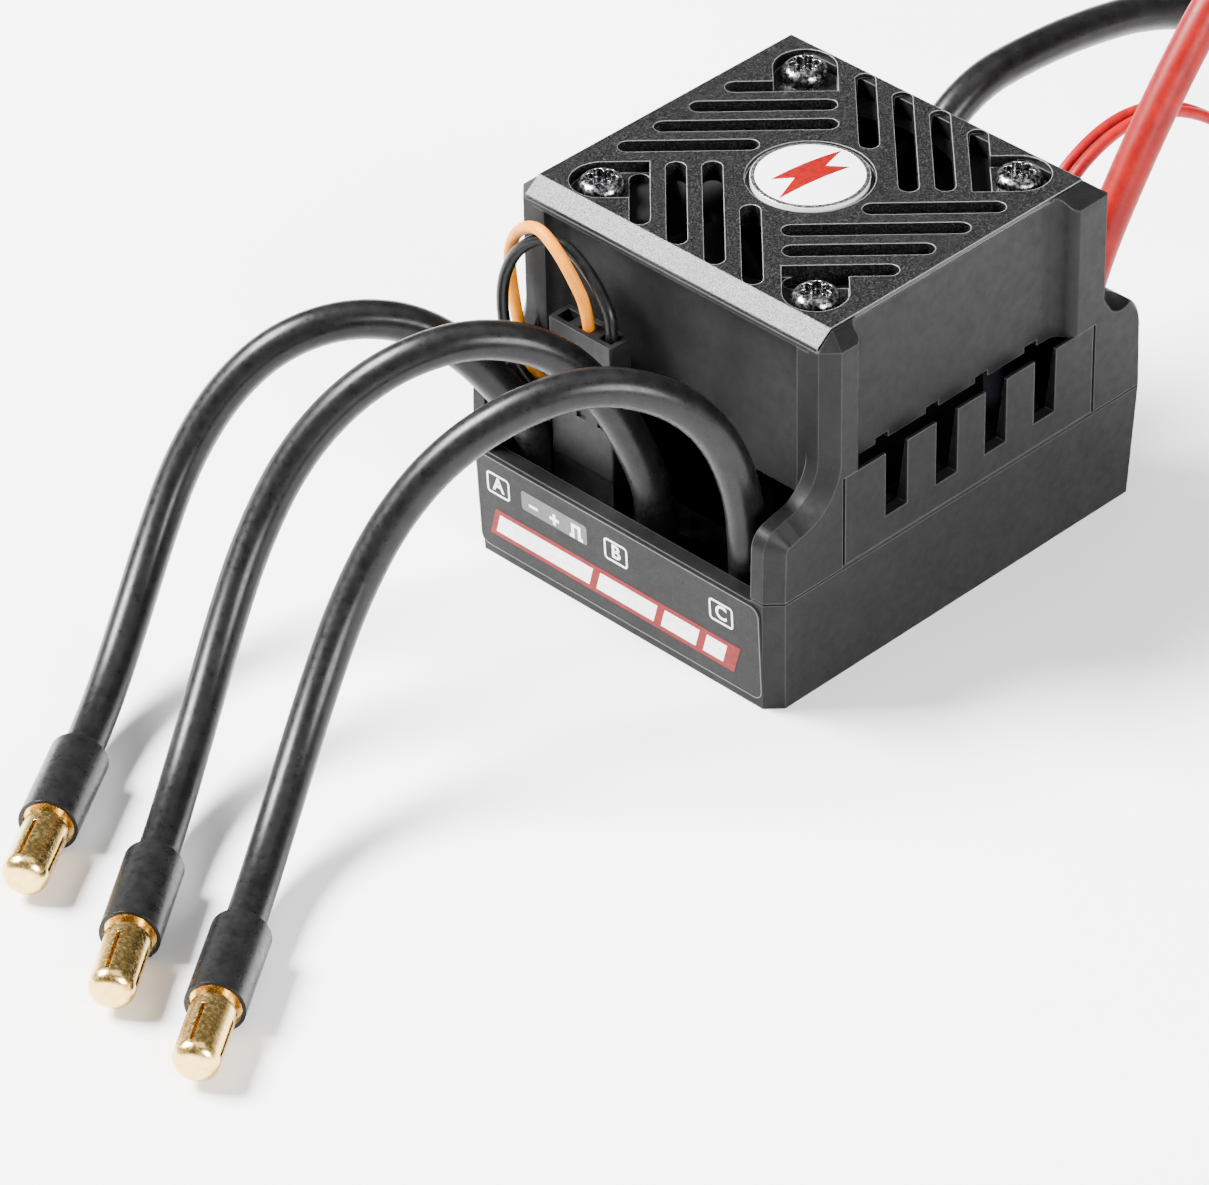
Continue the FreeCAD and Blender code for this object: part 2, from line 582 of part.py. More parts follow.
# ---- fan ----
ROTOR_GAP = 0.45
ROTOR_R = 13.2
HUB_R = 6.6
HUB_T = 5.0
BLADES = 7


def make_fan_frame():
    c = FAN_SIZE / 2
    frame = centred_box(0, FAN_Y, FAN_SIZE, FAN_SIZE, FAN_Z0, FAN_Z1)
    frame = round_verticals(frame, 2.0)
    frame = frame.cut(cylinder(ROTOR_R + ROTOR_GAP, 0, FAN_Y, FAN_Z0 + 1.2, FAN_Z1 + 1))
    open_ring = cylinder(ROTOR_R + ROTOR_GAP, 0, FAN_Y, FAN_Z0 - 1, FAN_Z0 + 1.2)
    keep = [cylinder(HUB_R, 0, FAN_Y, FAN_Z0 - 1, FAN_Z0 + 1.2)]
    for angle in (30, 150, 270):
        arm = box(0, c, -0.9, 0.9, FAN_Z0 - 1, FAN_Z0 + 1.2)
        arm.rotate(V(0, 0, 0), V(0, 0, 1), angle)
        arm.translate(V(0, FAN_Y, 0))
        keep.append(arm)
    frame = frame.cut(open_ring.cut(keep))
    post = cylinder(1.6, 0, FAN_Y, FAN_Z0 + 1.2, FAN_Z0 + 4.6)
    frame = frame.fuse(post).removeSplitter()
    frame = frame.cut(cylinder(1.2, 0, FAN_Y, FAN_Z0 + 0.6, FAN_Z1))
    return frame.cut(guard_screw_holes(1.3, FAN_Z0 - 1, FAN_Z1 + 1))


def make_fan_bearing():
    tube = cylinder(1.18, 0, FAN_Y, FAN_Z0 + 0.65, FAN_Z0 + 4.6)
    return tube.cut(cylinder(0.55, 0, FAN_Y, FAN_Z0, FAN_Z1))


def make_fan_stator():
    core = cylinder(4.3, 0, FAN_Y, FAN_Z0 + 1.6, FAN_Z0 + 4.2)
    core = core.cut(cylinder(1.65, 0, FAN_Y, FAN_Z0, FAN_Z1))
    for k in range(4):
        slot = box(2.6, 5, -0.5, 0.5, FAN_Z0, FAN_Z1)
        slot.rotate(V(0, 0, 0), V(0, 0, 1), 45 + 90 * k)
        slot.translate(V(0, FAN_Y, 0))
        core = core.cut(slot)
    return core


def make_fan_shaft():
    return cylinder(0.5, 0, FAN_Y, FAN_Z0 + 0.8, FAN_Z0 + 5.4)


def fan_hub_top():
    return FAN_Z0 + 1.5 + HUB_T


def make_fan_rotor():
    z0, z1 = FAN_Z0 + 1.5, fan_hub_top()
    hub = cylinder(HUB_R, 0, FAN_Y, z0, z1).cut(cylinder(HUB_R - 0.8, 0, FAN_Y, z0 - 1, z1 - 0.9))
    hub = hub.fuse(cylinder(1.2, 0, FAN_Y, FAN_Z0 + 4.75, z1 - 0.9))
    hub = hub.cut(cylinder(0.5, 0, FAN_Y, FAN_Z0, FAN_Z0 + 5.4))
    blades = []
    for k in range(BLADES):
        blade = Part.makeBox(ROTOR_R - HUB_R + 0.4, 0.7, 6.4, V(HUB_R - 0.3, -0.35, -3.2))
        blade.rotate(V(0, 0, 0), V(1, 0, 0), 48)
        blade.rotate(V(0, 0, 0), V(0, 0, 1), 360 / BLADES * k)
        blade.translate(V(0, FAN_Y, (z0 + z1) / 2))
        blades.append(blade)
    envelope = cylinder(ROTOR_R, 0, FAN_Y, z0, z1)
    return fuse([hub] + blades).common(envelope)


def make_fan_magnet():
    ring = cylinder(HUB_R - 0.82, 0, FAN_Y, FAN_Z0 + 1.7, FAN_Z0 + 5.2)
    return ring.cut(cylinder(HUB_R - 1.7, 0, FAN_Y, FAN_Z0, FAN_Z1))


# ---- board and what stands on it ----
def make_power_board():
    board = centred_box(0, 0, 32.6, 41.6, BOARD_Z, BOARD_TOP)
    board = board.makeChamfer(2.0, vertical_edges(board, lambda p: True))
    return board.cut(screw_posts(2.5, BOARD_Z - 1, BOARD_TOP + 1))


def make_mosfets():
    chips = []
    for row in range(3):
        for column in range(4):
            chips.append(centred_box(-9.6 + 6.4 * column, -9.0 + 7.0 * row, 5.0, 6.0, BOARD_TOP, 5.0))
    return Part.makeCompound(chips)


def make_thermal_pad():
    return box(-SINK_HALF_X, SINK_HALF_X, SINK_Y0, SINK_Y1, 5.0, SINK_Z0)


def make_heat_sink():
    base = box(-SINK_HALF_X, SINK_HALF_X, SINK_Y0, SINK_Y1, SINK_Z0, SINK_Z0 + SINK_BASE)
    fins = []
    count = 11
    for k in range(count):
        x = -SINK_HALF_X + 0.6 + k * (2 * SINK_HALF_X - 1.2) / (count - 1)
        reach = SINK_Y0 if abs(x) < 9.5 else SINK_Y0 + 4.5
        fins.append(box(x - 0.6, x + 0.6, reach, SINK_Y1, SINK_Z0 + SINK_BASE - 0.1, SINK_TOP))
    return fuse([base] + fins)


def make_capacitors():
    cans = []
    for x in (-8.5, 0, 8.5):
        can = cylinder(3.15, x, 12.2, BOARD_TOP, CAN_TOP)
        can = can.makeFillet(0.5, [e for e in can.Edges if abs(e.BoundBox.ZMin - CAN_TOP) < 1e-6])
        cans.append(can)
    return Part.makeCompound(cans)


def make_microcontroller():
    return centred_box(-6, 4, 5.0, 5.0, BOARD_Z - 0.75, BOARD_Z)


def make_gate_drivers():
    return Part.makeCompound([centred_box(x, -12, 4.0, 4.0, BOARD_Z - 0.75, BOARD_Z) for x in (-8.4, 0, 8.4)])


def lead_roots():
    roots = [motor_route(k)[0] for k in "abc"]
    roots += [BATTERY_LEADS[k][0] for k in ("red", "black")]
    return roots


def make_solder_tabs():
    return Part.makeCompound([cylinder(TAB_R, x, y, BOARD_TOP, LEAD_END_Z) for x, y, z in lead_roots()])


def make_port_header():
    w, l = PLUG_SIZE[0], PLUG_SIZE[1]
    body = centred_box(PLUG_X, PLUG_Y, w - 0.2, l - 0.2, BOARD_TOP, PLUG_Z0)
    pins = [centred_box(PLUG_X + k * PIN_PITCH, PLUG_Y, 0.6, 0.6, PLUG_Z0 - 0.5, PLUG_Z0 + 6.0)
            for k in (-1, 0, 1)]
    return fuse([body] + pins)


def make_fan_plug():
    w, l, h = PLUG_SIZE
    plug = centred_box(PLUG_X, PLUG_Y, w, l, PLUG_Z0, PLUG_Z0 + h)
    plug = round_verticals(plug, 0.25)
    cuts = []
    for k in (-1, 0, 1):
        x = PLUG_X + k * PIN_PITCH
        cuts.append(centred_box(x, PLUG_Y, 0.7, 0.7, PLUG_Z0 - 1, PLUG_Z0 + 6.4))
        cuts.append(centred_box(x, PLUG_Y, 1.5, 1.5, PLUG_Z0 + h - 1.3, PLUG_Z0 + h + 1))
        cuts.append(centred_box(x, PLUG_Y - l / 2, 1.1, 0.5, PLUG_Z0 + 5.0, PLUG_Z0 + 8.5))
    return plug.cut(cuts)


def make_potting(taken):
    """Black compound in the tub, in front of and behind the heat sink."""
    front = tub_cavity().common(box(-CASE_W, CASE_W, -CASE_L, SINK_Y0 - 0.6, BOARD_TOP, POTTING_Z))
    rear = tub_cavity().common(box(-CASE_W, CASE_W, 16.6, CASE_L, BOARD_TOP, POTTING_Z))
    cuts = list(taken) + screw_posts(2.32, 0, PART_Z)
    return Part.makeCompound([front.cut(cuts), rear.cut(cuts)])


# ---- ends of the leads ----
def make_sleeve(point, direction):
    """Heat-shrink that grips the lead's end and covers the contact's barrel."""
    tube = Part.makeCylinder(SLEEVE_D / 2, SLEEVE_L)
    tube = tube.cut(Part.makeCylinder(LEAD_D / 2 + 0.02, SLEEVE_LAP))
    tube = tube.cut(Part.makeCylinder(BARREL_R + 0.02, SLEEVE_L, V(0, 0, SLEEVE_LAP)))
    return align(tube, point - direction * SLEEVE_LAP, direction)


def make_bullet(point, direction):
    """Gold bullet contact: solder barrel, neck and a slotted pin with a rounded nose."""
    barrel = Part.makeCylinder(BARREL_R, 6.0)
    neck = Part.makeCylinder(1.5, 2.6, V(0, 0, 5.9))
    pin = Part.makeCylinder(BULLET_D / 2, BULLET_L - 7.0, V(0, 0, 7.0))
    nose = [e for e in pin.Edges if abs(e.BoundBox.ZMin - BULLET_L) < 1e-6]
    pin = pin.makeFillet(1.1, nose)
    slots = []
    for k in range(2):
        slot = Part.makeBox(0.35, 2 * BULLET_D, 4.6, V(-0.175, -BULLET_D, 8.2))
        slot.rotate(V(0, 0, 0), V(0, 0, 1), 45 + 90 * k)
        slots.append(slot.cut(Part.makeCylinder(1.0, BULLET_L)))
    bullet = fuse([barrel, neck, pin]).cut(slots)
    return align(bullet, point, direction)


# ---- battery connector ----
CONNECTOR_Y = 98.0
CONNECTOR_X = 5.6
CONNECTOR_W = 17.0
CONNECTOR_H = 8.6


def make_battery_connector(taken):
    y0, y1 = CONNECTOR_Y, CONNECTOR_Y + 8.0
    body = box(CONNECTOR_X - CONNECTOR_W / 2, CONNECTOR_X + CONNECTOR_W / 2, y0, y1, 0, CONNECTOR_H)
    long_edges = [e for e in body.Edges if abs(e.Length - 8.0) < 1e-6 and abs(e.BoundBox.YLength - 8.0) < 1e-6]
    body = body.makeFillet(1.6, long_edges)
    collar = box(CONNECTOR_X - 7.0, CONNECTOR_X + 7.0, y1 - 0.1, y1 + 6.0, 1.1, CONNECTOR_H - 1.1)
    ridges = [box(CONNECTOR_X - 6, CONNECTOR_X + 6, y0 + 1.2 + 1.8 * k, y0 + 2.0 + 1.8 * k,
                  CONNECTOR_H - 0.1, CONNECTOR_H + 0.25) for k in range(4)]
    return fuse([body, collar] + ridges).cut(taken)


def make_battery_contacts():
    """Two flat blades, one upright and one level, each with a round solder post."""
    blades = []
    for key, tilt in (("red", 0), ("black", 90)):
        x, y, z = BATTERY_LEADS[key][-1]
        post = Part.makeCylinder(1.5, 5.0, V(x, CONNECTOR_Y - 2.0, z), V(0, 1, 0))
        blade = Part.makeBox(1.2, 14.0, 4.0, V(x - 0.6, CONNECTOR_Y + 2.6, z - 2.0))
        blade.rotate(V(x, 0, z), V(0, 1, 0), tilt)
        blades.append(fuse([post, blade]))
    return Part.makeCompound(blades)


def make_battery_sleeve(key):
    x, y, z = BATTERY_LEADS[key][-1]
    tube = Part.makeCylinder(2.6, CONNECTOR_Y - y + 2.8, V(x, y - 2.8, z), V(0, 1, 0))
    tube = tube.cut(Part.makeCylinder(LEAD_D / 2 + 0.06, 2.9, V(x, y - 2.9, z), V(0, 1, 0)))
    return tube.cut(Part.makeCylinder(1.52, 10.0, V(x, y, z), V(0, 1, 0)))


# ---- power switch ----
SWITCH_Y = 83.4
SWITCH_X = 28.2
SWITCH_W = 11.0
SWITCH_L = 15.0
SWITCH_H = 6.6
SWITCH_EAR = 5.5
SWITCH_EAR_T = 1.6
SWITCH_TRAVEL = 3.0
SLIDER_Z = SWITCH_H - 1.4


def make_switch_body():
    y0, y1 = SWITCH_Y, SWITCH_Y + SWITCH_L
    body = box(SWITCH_X - SWITCH_W / 2, SWITCH_X + SWITCH_W / 2, y0, y1, 0, SWITCH_H)
    body = round_verticals(body, 1.0)
    plate = box(SWITCH_X - SWITCH_W / 2 - SWITCH_EAR, SWITCH_X + SWITCH_W / 2 + SWITCH_EAR,
                y0 + 3.0, y1 - 3.0, SWITCH_H - SWITCH_EAR_T, SWITCH_H)
    plate = round_verticals(plate, 2.0)
    body = fuse([body, plate])
    for x in switch_hole_x():
        body = body.cut(cylinder(1.2, x, SWITCH_Y + SWITCH_L / 2, 0, SWITCH_H + 1))
    slot = centred_box(SWITCH_X, SWITCH_Y + SWITCH_L / 2, 3.1, 4.0 + SWITCH_TRAVEL + 0.2, SLIDER_Z, SWITCH_H + 1)
    pocket = centred_box(SWITCH_X, SWITCH_Y + SWITCH_L / 2, 4.2, 5.0 + SWITCH_TRAVEL + 0.4,
                         SLIDER_Z - 1.2, SLIDER_Z)
    lead_holes = [Part.makeCylinder(THIN_D / 2 + 0.06, 3.0, V(x, y0 - 0.1, SWITCH_LEAD[-1][2]), V(0, 1, 0))
                  for x in switch_lead_x()]
    return body.cut([slot, pocket] + lead_holes)


def switch_hole_x():
    offset = SWITCH_W / 2 + SWITCH_EAR - 2.6
    return (SWITCH_X - offset, SWITCH_X + offset)


def switch_lead_x():
    return (SWITCH_LEAD[-1][0], SWITCH_LEAD[-1][0] + THIN_PITCH)


def make_switch_slider():
    y = SWITCH_Y + SWITCH_L / 2 - SWITCH_TRAVEL / 2
    knob = centred_box(SWITCH_X, y, 3.0, 4.0, SLIDER_Z - 0.1, SWITCH_H + 2.4)
    grooves = [box(SWITCH_X - 2, SWITCH_X + 2, y - 1.3 + k, y - 0.9 + k, SWITCH_H + 2.0, SWITCH_H + 3)
               for k in (0, 1.1, 2.2)]
    foot = centred_box(SWITCH_X, y, 4.0, 4.9, SLIDER_Z - 1.15, SLIDER_Z - 0.05)
    return fuse([knob, foot]).cut(grooves)


# ---- build ----
def build():
    parts["lower_case"] = make_lower_case()
    parts["upper_case"] = make_upper_case()
    vent = make_vent()
    parts["side_vent_right"] = vent
    parts["side_vent_left"] = mirror_x(vent)
    parts["fan_guard"] = make_fan_guard()
    parts["badge"] = make_badge()
    parts["guard_screws"] = make_guard_screws()
    parts["case_screws"] = make_case_screws()
    parts["front_label"] = make_front_label()
    parts["fan_frame"] = make_fan_frame()
    parts["fan_bearing"] = make_fan_bearing()
    parts["fan_stator"] = make_fan_stator()
    parts["fan_shaft"] = make_fan_shaft()
    parts["fan_rotor"] = make_fan_rotor()
    parts["fan_magnet"] = make_fan_magnet()
    parts["power_board"] = make_power_board()
    parts["mosfets"] = make_mosfets()
    parts["thermal_pad"] = make_thermal_pad()
    parts["heat_sink"] = make_heat_sink()
    parts["capacitors"] = make_capacitors()
    parts["microcontroller"] = make_microcontroller()
    parts["gate_drivers"] = make_gate_drivers()
    parts["solder_tabs"] = make_solder_tabs()
    parts["port_header"] = make_port_header()
    parts["fan_plug"] = make_fan_plug()
    for key in "abc":
        route = motor_route(key)
        parts["motor_lead_" + key] = lead_tube("motor_lead_" + key, route, LEAD_D)
        point, direction = heading(route)
        parts["motor_sleeve_" + key] = make_sleeve(point, direction)
        parts["motor_bullet_" + key] = make_bullet(point, direction)
    for key, route in BATTERY_LEADS.items():
        parts["battery_lead_" + key] = lead_tube("battery_lead_" + key, route, LEAD_D)
        parts["battery_sleeve_" + key] = make_battery_sleeve(key)
    parts["battery_contacts"] = make_battery_contacts()
    parts["battery_connector"] = make_battery_connector([parts["battery_contacts"]])
    for key, shift in (("1", 0.0), ("2", THIN_PITCH)):
        route = [(x + shift, y, z) for x, y, z in SWITCH_LEAD]
        parts["switch_lead_" + key] = lead_tube("switch_lead_" + key, route, THIN_D)
    for key, route in FAN_LEADS.items():
        parts["fan_lead_" + key] = lead_tube("fan_lead_" + key, route, THIN_D)
    parts["switch_body"] = make_switch_body()
    parts["switch_slider"] = make_switch_slider()
    leads = [parts[n] for n in parts if n.startswith(("motor_lead", "battery_lead", "switch_lead"))]
    parts["potting"] = make_potting(leads + [parts["solder_tabs"], parts["port_header"]])


build()
os.makedirs("parts", exist_ok=True)
for name, shape in parts.items():
    if not shape.isValid():
        print("NOT VALID", name)
    shape.exportStep("parts/" + name + ".step")
print(len(parts), "nodes")
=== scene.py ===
import bpy
import bmesh
import math
from mathutils import Matrix, Vector


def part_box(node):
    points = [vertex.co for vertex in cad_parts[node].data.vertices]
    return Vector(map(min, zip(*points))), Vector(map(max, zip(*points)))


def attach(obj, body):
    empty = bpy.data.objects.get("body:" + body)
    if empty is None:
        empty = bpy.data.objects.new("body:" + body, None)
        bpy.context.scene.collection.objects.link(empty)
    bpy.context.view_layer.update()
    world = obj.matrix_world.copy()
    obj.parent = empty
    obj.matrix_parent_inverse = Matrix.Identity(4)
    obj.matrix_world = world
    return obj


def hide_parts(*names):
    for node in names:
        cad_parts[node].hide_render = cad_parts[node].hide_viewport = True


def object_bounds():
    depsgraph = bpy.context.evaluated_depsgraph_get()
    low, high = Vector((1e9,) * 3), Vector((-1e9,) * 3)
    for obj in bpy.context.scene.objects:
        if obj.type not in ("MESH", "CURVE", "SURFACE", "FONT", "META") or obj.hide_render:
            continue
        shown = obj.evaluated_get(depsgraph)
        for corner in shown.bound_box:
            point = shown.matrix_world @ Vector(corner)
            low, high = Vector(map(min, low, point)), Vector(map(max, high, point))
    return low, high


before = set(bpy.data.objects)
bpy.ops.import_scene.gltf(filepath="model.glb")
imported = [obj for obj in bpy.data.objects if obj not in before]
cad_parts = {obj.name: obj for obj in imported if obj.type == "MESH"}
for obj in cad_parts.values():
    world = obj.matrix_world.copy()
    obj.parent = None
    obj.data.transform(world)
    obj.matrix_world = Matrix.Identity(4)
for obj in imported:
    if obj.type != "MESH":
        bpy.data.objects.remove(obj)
cad_low, cad_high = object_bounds()
MM = 0.001

# ---------------------------------------------------------------- camera
TARGET = Vector((0.0, 0.0, 16.5)) * MM
CAMERA_AZIMUTH = math.radians(43.57)
CAMERA_ELEVATION = math.radians(34.41)
CAMERA_DISTANCE = 567.87 * MM
FOCAL_IN_WIDTHS = 5.3308          # focal length over the image's width
TARGET_RIGHT = 0.16402            # where the target shows, right of and above the image's centre,
TARGET_ABOVE = 0.18933            # in image widths
SENSOR = 36.0
CAMERA_CLIP = (0.01, 50)            # nearest and farthest distance drawn, metres


def make_camera():
    """Looks at the case from the front right; turned, not shifted, to place it in the image."""
    az, el = CAMERA_AZIMUTH, CAMERA_ELEVATION
    back = Vector((math.sin(az) * math.cos(el), -math.cos(az) * math.cos(el), math.sin(el)))
    right = Vector((math.cos(az), math.sin(az), 0))
    up = back.cross(right)
    forward = -back * FOCAL_IN_WIDTHS - right * TARGET_RIGHT - up * TARGET_ABOVE
    forward.normalize()
    right = (right - forward * right.dot(forward)).normalized()
    up = right.cross(forward)
    data = bpy.data.cameras.new("camera")
    data.sensor_width = SENSOR
    data.lens = SENSOR * FOCAL_IN_WIDTHS
    data.clip_start, data.clip_end = CAMERA_CLIP
    camera = bpy.data.objects.new("camera", data)
    turn = Matrix((right, up, -forward)).transposed().to_4x4()
    camera.matrix_world = Matrix.Translation(TARGET + back * CAMERA_DISTANCE) @ turn
    bpy.context.collection.objects.link(camera)
    bpy.context.scene.camera = camera


make_camera()


# ---------------------------------------------------------------- node helpers
MIX_COLOUR_INPUTS = (0, 6, 7)         # the Mix node's sockets when it mixes colours
MIX_COLOUR_OUTPUT = 2
BEVEL_SAMPLES = 6


class Graph:
    """A material's nodes, with short ways to add and join them."""

    last_normal = None                # what the next bump is added to

    def __init__(self, name, colour, roughness, metallic=0.0):
        self.material = bpy.data.materials.new(name)
        self.material.use_nodes = True
        self.tree = self.material.node_tree
        self.shader = self.tree.nodes["Principled BSDF"]
        self.set("Base Color", (*colour, 1))
        self.set("Roughness", roughness)
        self.set("Metallic", metallic)
        self.place = self.add("ShaderNodeTexCoord").outputs["Object"]

    def set(self, name, value):
        self.shader.inputs[name].default_value = value

    def add(self, kind, **values):
        node = self.tree.nodes.new(kind)
        for key, value in values.items():
            setattr(node, key, value)
        return node

    def join(self, source, target):
        self.tree.links.new(source, target)

    def noise(self, size, detail=2.0, roughness=0.5):
        """Noise whose features are about size metres across."""
        node = self.add("ShaderNodeTexNoise")
        node.inputs["Scale"].default_value = 1 / size
        node.inputs["Detail"].default_value = detail
        node.inputs["Roughness"].default_value = roughness
        self.join(self.place, node.inputs["Vector"])
        return node.outputs["Fac"]

    def cells(self, size):
        """Distance from the nearest of many points about size metres apart."""
        node = self.add("ShaderNodeTexVoronoi", feature="F1")
        node.inputs["Scale"].default_value = 1 / size
        self.join(self.place, node.inputs["Vector"])
        return node.outputs["Distance"]

    def ramp(self, value, *stops):
        """Maps a value to a grey or a colour through (position, colour) stops."""
        node = self.add("ShaderNodeValToRGB")
        elements = node.color_ramp.elements
        while len(elements) < len(stops):
            elements.new(0.5)
        for element, (position, colour) in zip(elements, stops):
            element.position = position
            element.color = (*(colour if isinstance(colour, tuple) else [colour] * 3), 1)
        self.join(value, node.inputs["Fac"])
        return node.outputs["Color"]

    def spread(self, value, low, high, out_low, out_high):
        """Maps low..high to out_low..out_high."""
        node = self.add("ShaderNodeMapRange")
        limits = {"From Min": low, "From Max": high, "To Min": out_low, "To Max": out_high}
        for name, number in limits.items():
            node.inputs[name].default_value = number
        self.join(value, node.inputs["Value"])
        return node.outputs["Result"]

    def mix(self, factor, a, b):
        """Colour a where factor is 0, b where it is 1; each may be a value or a socket."""
        node = self.add("ShaderNodeMix", data_type="RGBA", blend_type="MIX")
        factor_in, a_in, b_in = (node.inputs[i] for i in MIX_COLOUR_INPUTS)
        for value, socket in ((factor, factor_in), (a, a_in), (b, b_in)):
            if hasattr(value, "is_output"):
                self.join(value, socket)
            elif isinstance(value, tuple):
                socket.default_value = (*value, 1)
            else:
                socket.default_value = value
        return node.outputs[MIX_COLOUR_OUTPUT]

    def colour(self, socket):
        self.join(socket, self.shader.inputs["Base Color"])

    def roughness(self, socket):
        self.join(socket, self.shader.inputs["Roughness"])

    def bump(self, height, strength, distance):
        """Adds a bump to the rounded edges or the bump made before it."""
        node = self.add("ShaderNodeBump")
        node.inputs["Strength"].default_value = strength
        node.inputs["Distance"].default_value = distance
        self.join(height, node.inputs["Height"])
        if self.last_normal:
            self.join(self.last_normal, node.inputs["Normal"])
        self.last_normal = node.outputs["Normal"]
        self.join(self.last_normal, self.shader.inputs["Normal"])

    def edges(self, radius, low=0.86, high=0.985):
        """0 on flat faces, up to 1 along edges within radius: the mask through which highlights and
        shade are painted along edges.
        """
        bevel = self.add("ShaderNodeBevel", samples=BEVEL_SAMPLES)
        bevel.inputs["Radius"].default_value = radius
        dot = self.add("ShaderNodeVectorMath", operation="DOT_PRODUCT")
        self.join(bevel.outputs["Normal"], dot.inputs[0])
        self.join(self.add("ShaderNodeNewGeometry").outputs["True Normal"], dot.inputs[1])
        return self.spread(dot.outputs["Value"], high, low, 0.0, 1.0)

    def rounded(self, radius):
        """Shades edges as if rounded by radius."""
        node = self.add("ShaderNodeBevel", samples=BEVEL_SAMPLES)
        node.inputs["Radius"].default_value = radius
        self.last_normal = node.outputs["Normal"]
        self.join(self.last_normal, self.shader.inputs["Normal"])


def dress(node, material):
    """Gives a CAD node its material."""
    for slot in bpy.data.objects[node].material_slots:
        slot.material = material


# ---------------------------------------------------------------- cords
def scaled(points):
    return [tuple(c * MM for c in p) for p in points]


# Each route runs from its root to its far end, in mm. A motor lead's is its root (x, y), the way
# it leaves in degrees, and points (reach, side, height) about the root.
MOTOR_LEADS = {
    "a": ((-13.0, -19.2), 36.0,
          [(0, 0, 4.5), (0, 0, 10.4), (1.9, 0.8, 15.4), (4.4, 1, 19.6), (7.8, 0.5, 23.4),
           (12.2, 0, 26.1), (17.8, 0, 26.8), (23.4, 0.2, 25), (28.2, 1, 21), (32.2, 3.2, 15.8),
           (35.2, 7, 10.8), (38, 12, 6.6), (40.6, 17.6, 3.8), (43, 23.4, 2.65), (45.2, 29, 2.65)]),
    "b": ((1.0, -19.2), 34.0,
          [(0, 0, 4.5), (0, 0, 11.6), (1.8, 0, 18.2), (4.9, 0, 24.6), (9.3, 0, 29.6),
           (15.4, 0, 31.6), (21.6, 0, 30.4), (27.2, 0, 26.8), (32, 1, 21.8), (36, 3.8, 16),
           (39.2, 8, 10.8), (42.2, 13.4, 6.4), (45, 19.4, 3.6), (47.4, 25.6, 2.65),
           (49.6, 31.6, 2.65)]),
    "c": ((12.5, -20.2), 32.0,
          [(-0.34, -0.21, 4.5), (-0.34, -0.21, 12.4), (0.2, -0.1, 19.6), (2.5, 0, 26),
           (6.8, 0, 30.5), (13.2, 0, 32.7), (19.8, 0, 31.2), (25.8, 0, 27.6), (30.8, 1, 22.6),
           (35, 3.4, 16.8), (38.6, 7.2, 11.2), (42, 12.2, 6.6), (45.2, 18, 3.7),
           (48, 24.2, 2.65), (50.6, 30.2, 2.65)]),
}
BATTERY_LEADS = {
    "red": [(13.5, 19.8, 4.5), (13.5, 19.8, 12.6), (13.5, 22.2, 21.4), (13.5, 27.4, 29.6),
            (13.5, 33, 37), (13.6, 38.8, 43.6), (13.8, 45.6, 47.2), (13.8, 53, 46.2),
            (13.6, 59.4, 41.2), (13.2, 64, 34.2), (12.6, 67.6, 26.2), (11.8, 71, 18.4),
            (11, 75.6, 11.2), (10.2, 81.8, 6.4), (9.6, 88.8, 4.4), (9.6, 95.6, 4.3)],
    "black": [(-8, 19.8, 4.5), (-8, 19.8, 12), (-8, 21.6, 19), (-8, 25.2, 24.8), (-8, 31, 28),
              (-8, 38, 28), (-7.8, 45.4, 27.4), (-7.2, 53, 26.2), (-6, 60.6, 23.4),
              (-4.2, 67.6, 18.4), (-2.2, 74, 12.6), (-0.2, 80.6, 7.8), (1.2, 87.8, 4.6),
              (1.2, 95.0, 4.3)],
}
SWITCH_LEAD = [(5, 20.4, 4.5), (5, 20.6, 11.6), (5, 22, 18.4), (5, 25.6, 23.6), (5, 30.6, 27),
               (5, 36.6, 28), (5.6, 42.8, 26.4), (7.4, 48.6, 22), (10, 53.8, 16.2),
               (13, 58.8, 10.2), (16.6, 64.4, 5.2), (20.6, 70.6, 1.9), (24.4, 77, 1.7),
               (27.6, 83.4, 3.3)]
SWITCH_PITCH = 1.32               # between the switch's two leads
FAN_LEADS = {
    "orange": [(-7.3, -18.9, 25), (-7.2, -19.2, 28.2), (-8.6, -19.7, 31.4), (-10.7, -19.6, 33.4),
               (-13.2, -19.1, 34), (-15.8, -18.7, 32.6), (-17.6, -18.3, 30),
               (-18.0, -18.1, 27.2), (-17.4, -18.2, 24.2), (-16.5, -18.5, 21.4),
               (-15.4, -18.7, 18.6), (-13.7, -17.4, 16.4), (-11.8, -15.9, 15.1),
               (-9.9, -14.6, 15.3), (-8.8, -13.7, 17.2), (-8.9, -13.4, 20), (-8.5, -13.25, 23.2),
               (-8.6, -13.3, 26.5)],
    "black": [(-4.76, -18.9, 25), (-4.5, -18.8, 27.8), (-6.4, -18.3, 29.8), (-8.9, -17.9, 31.5),
              (-11.4, -18.0, 32.8), (-13.8, -18.7, 32.4), (-15.7, -19.4, 30.6),
              (-16.8, -19.9, 27.9), (-17.0, -20.1, 25), (-16.4, -20.3, 22.2),
              (-15.3, -20.3, 19.2), (-14.1, -18.8, 16.4), (-12.3, -17.0, 14.3),
              (-10.1, -15.5, 13.5), (-8.1, -14.3, 14.6), (-7.2, -13.5, 17), (-7.2, -13.4, 20),
              (-6.9, -13.25, 23.2), (-7.0, -13.3, 26.5)],
}
LEAD_D = 3.5 * MM
THIN_D = 1.1 * MM


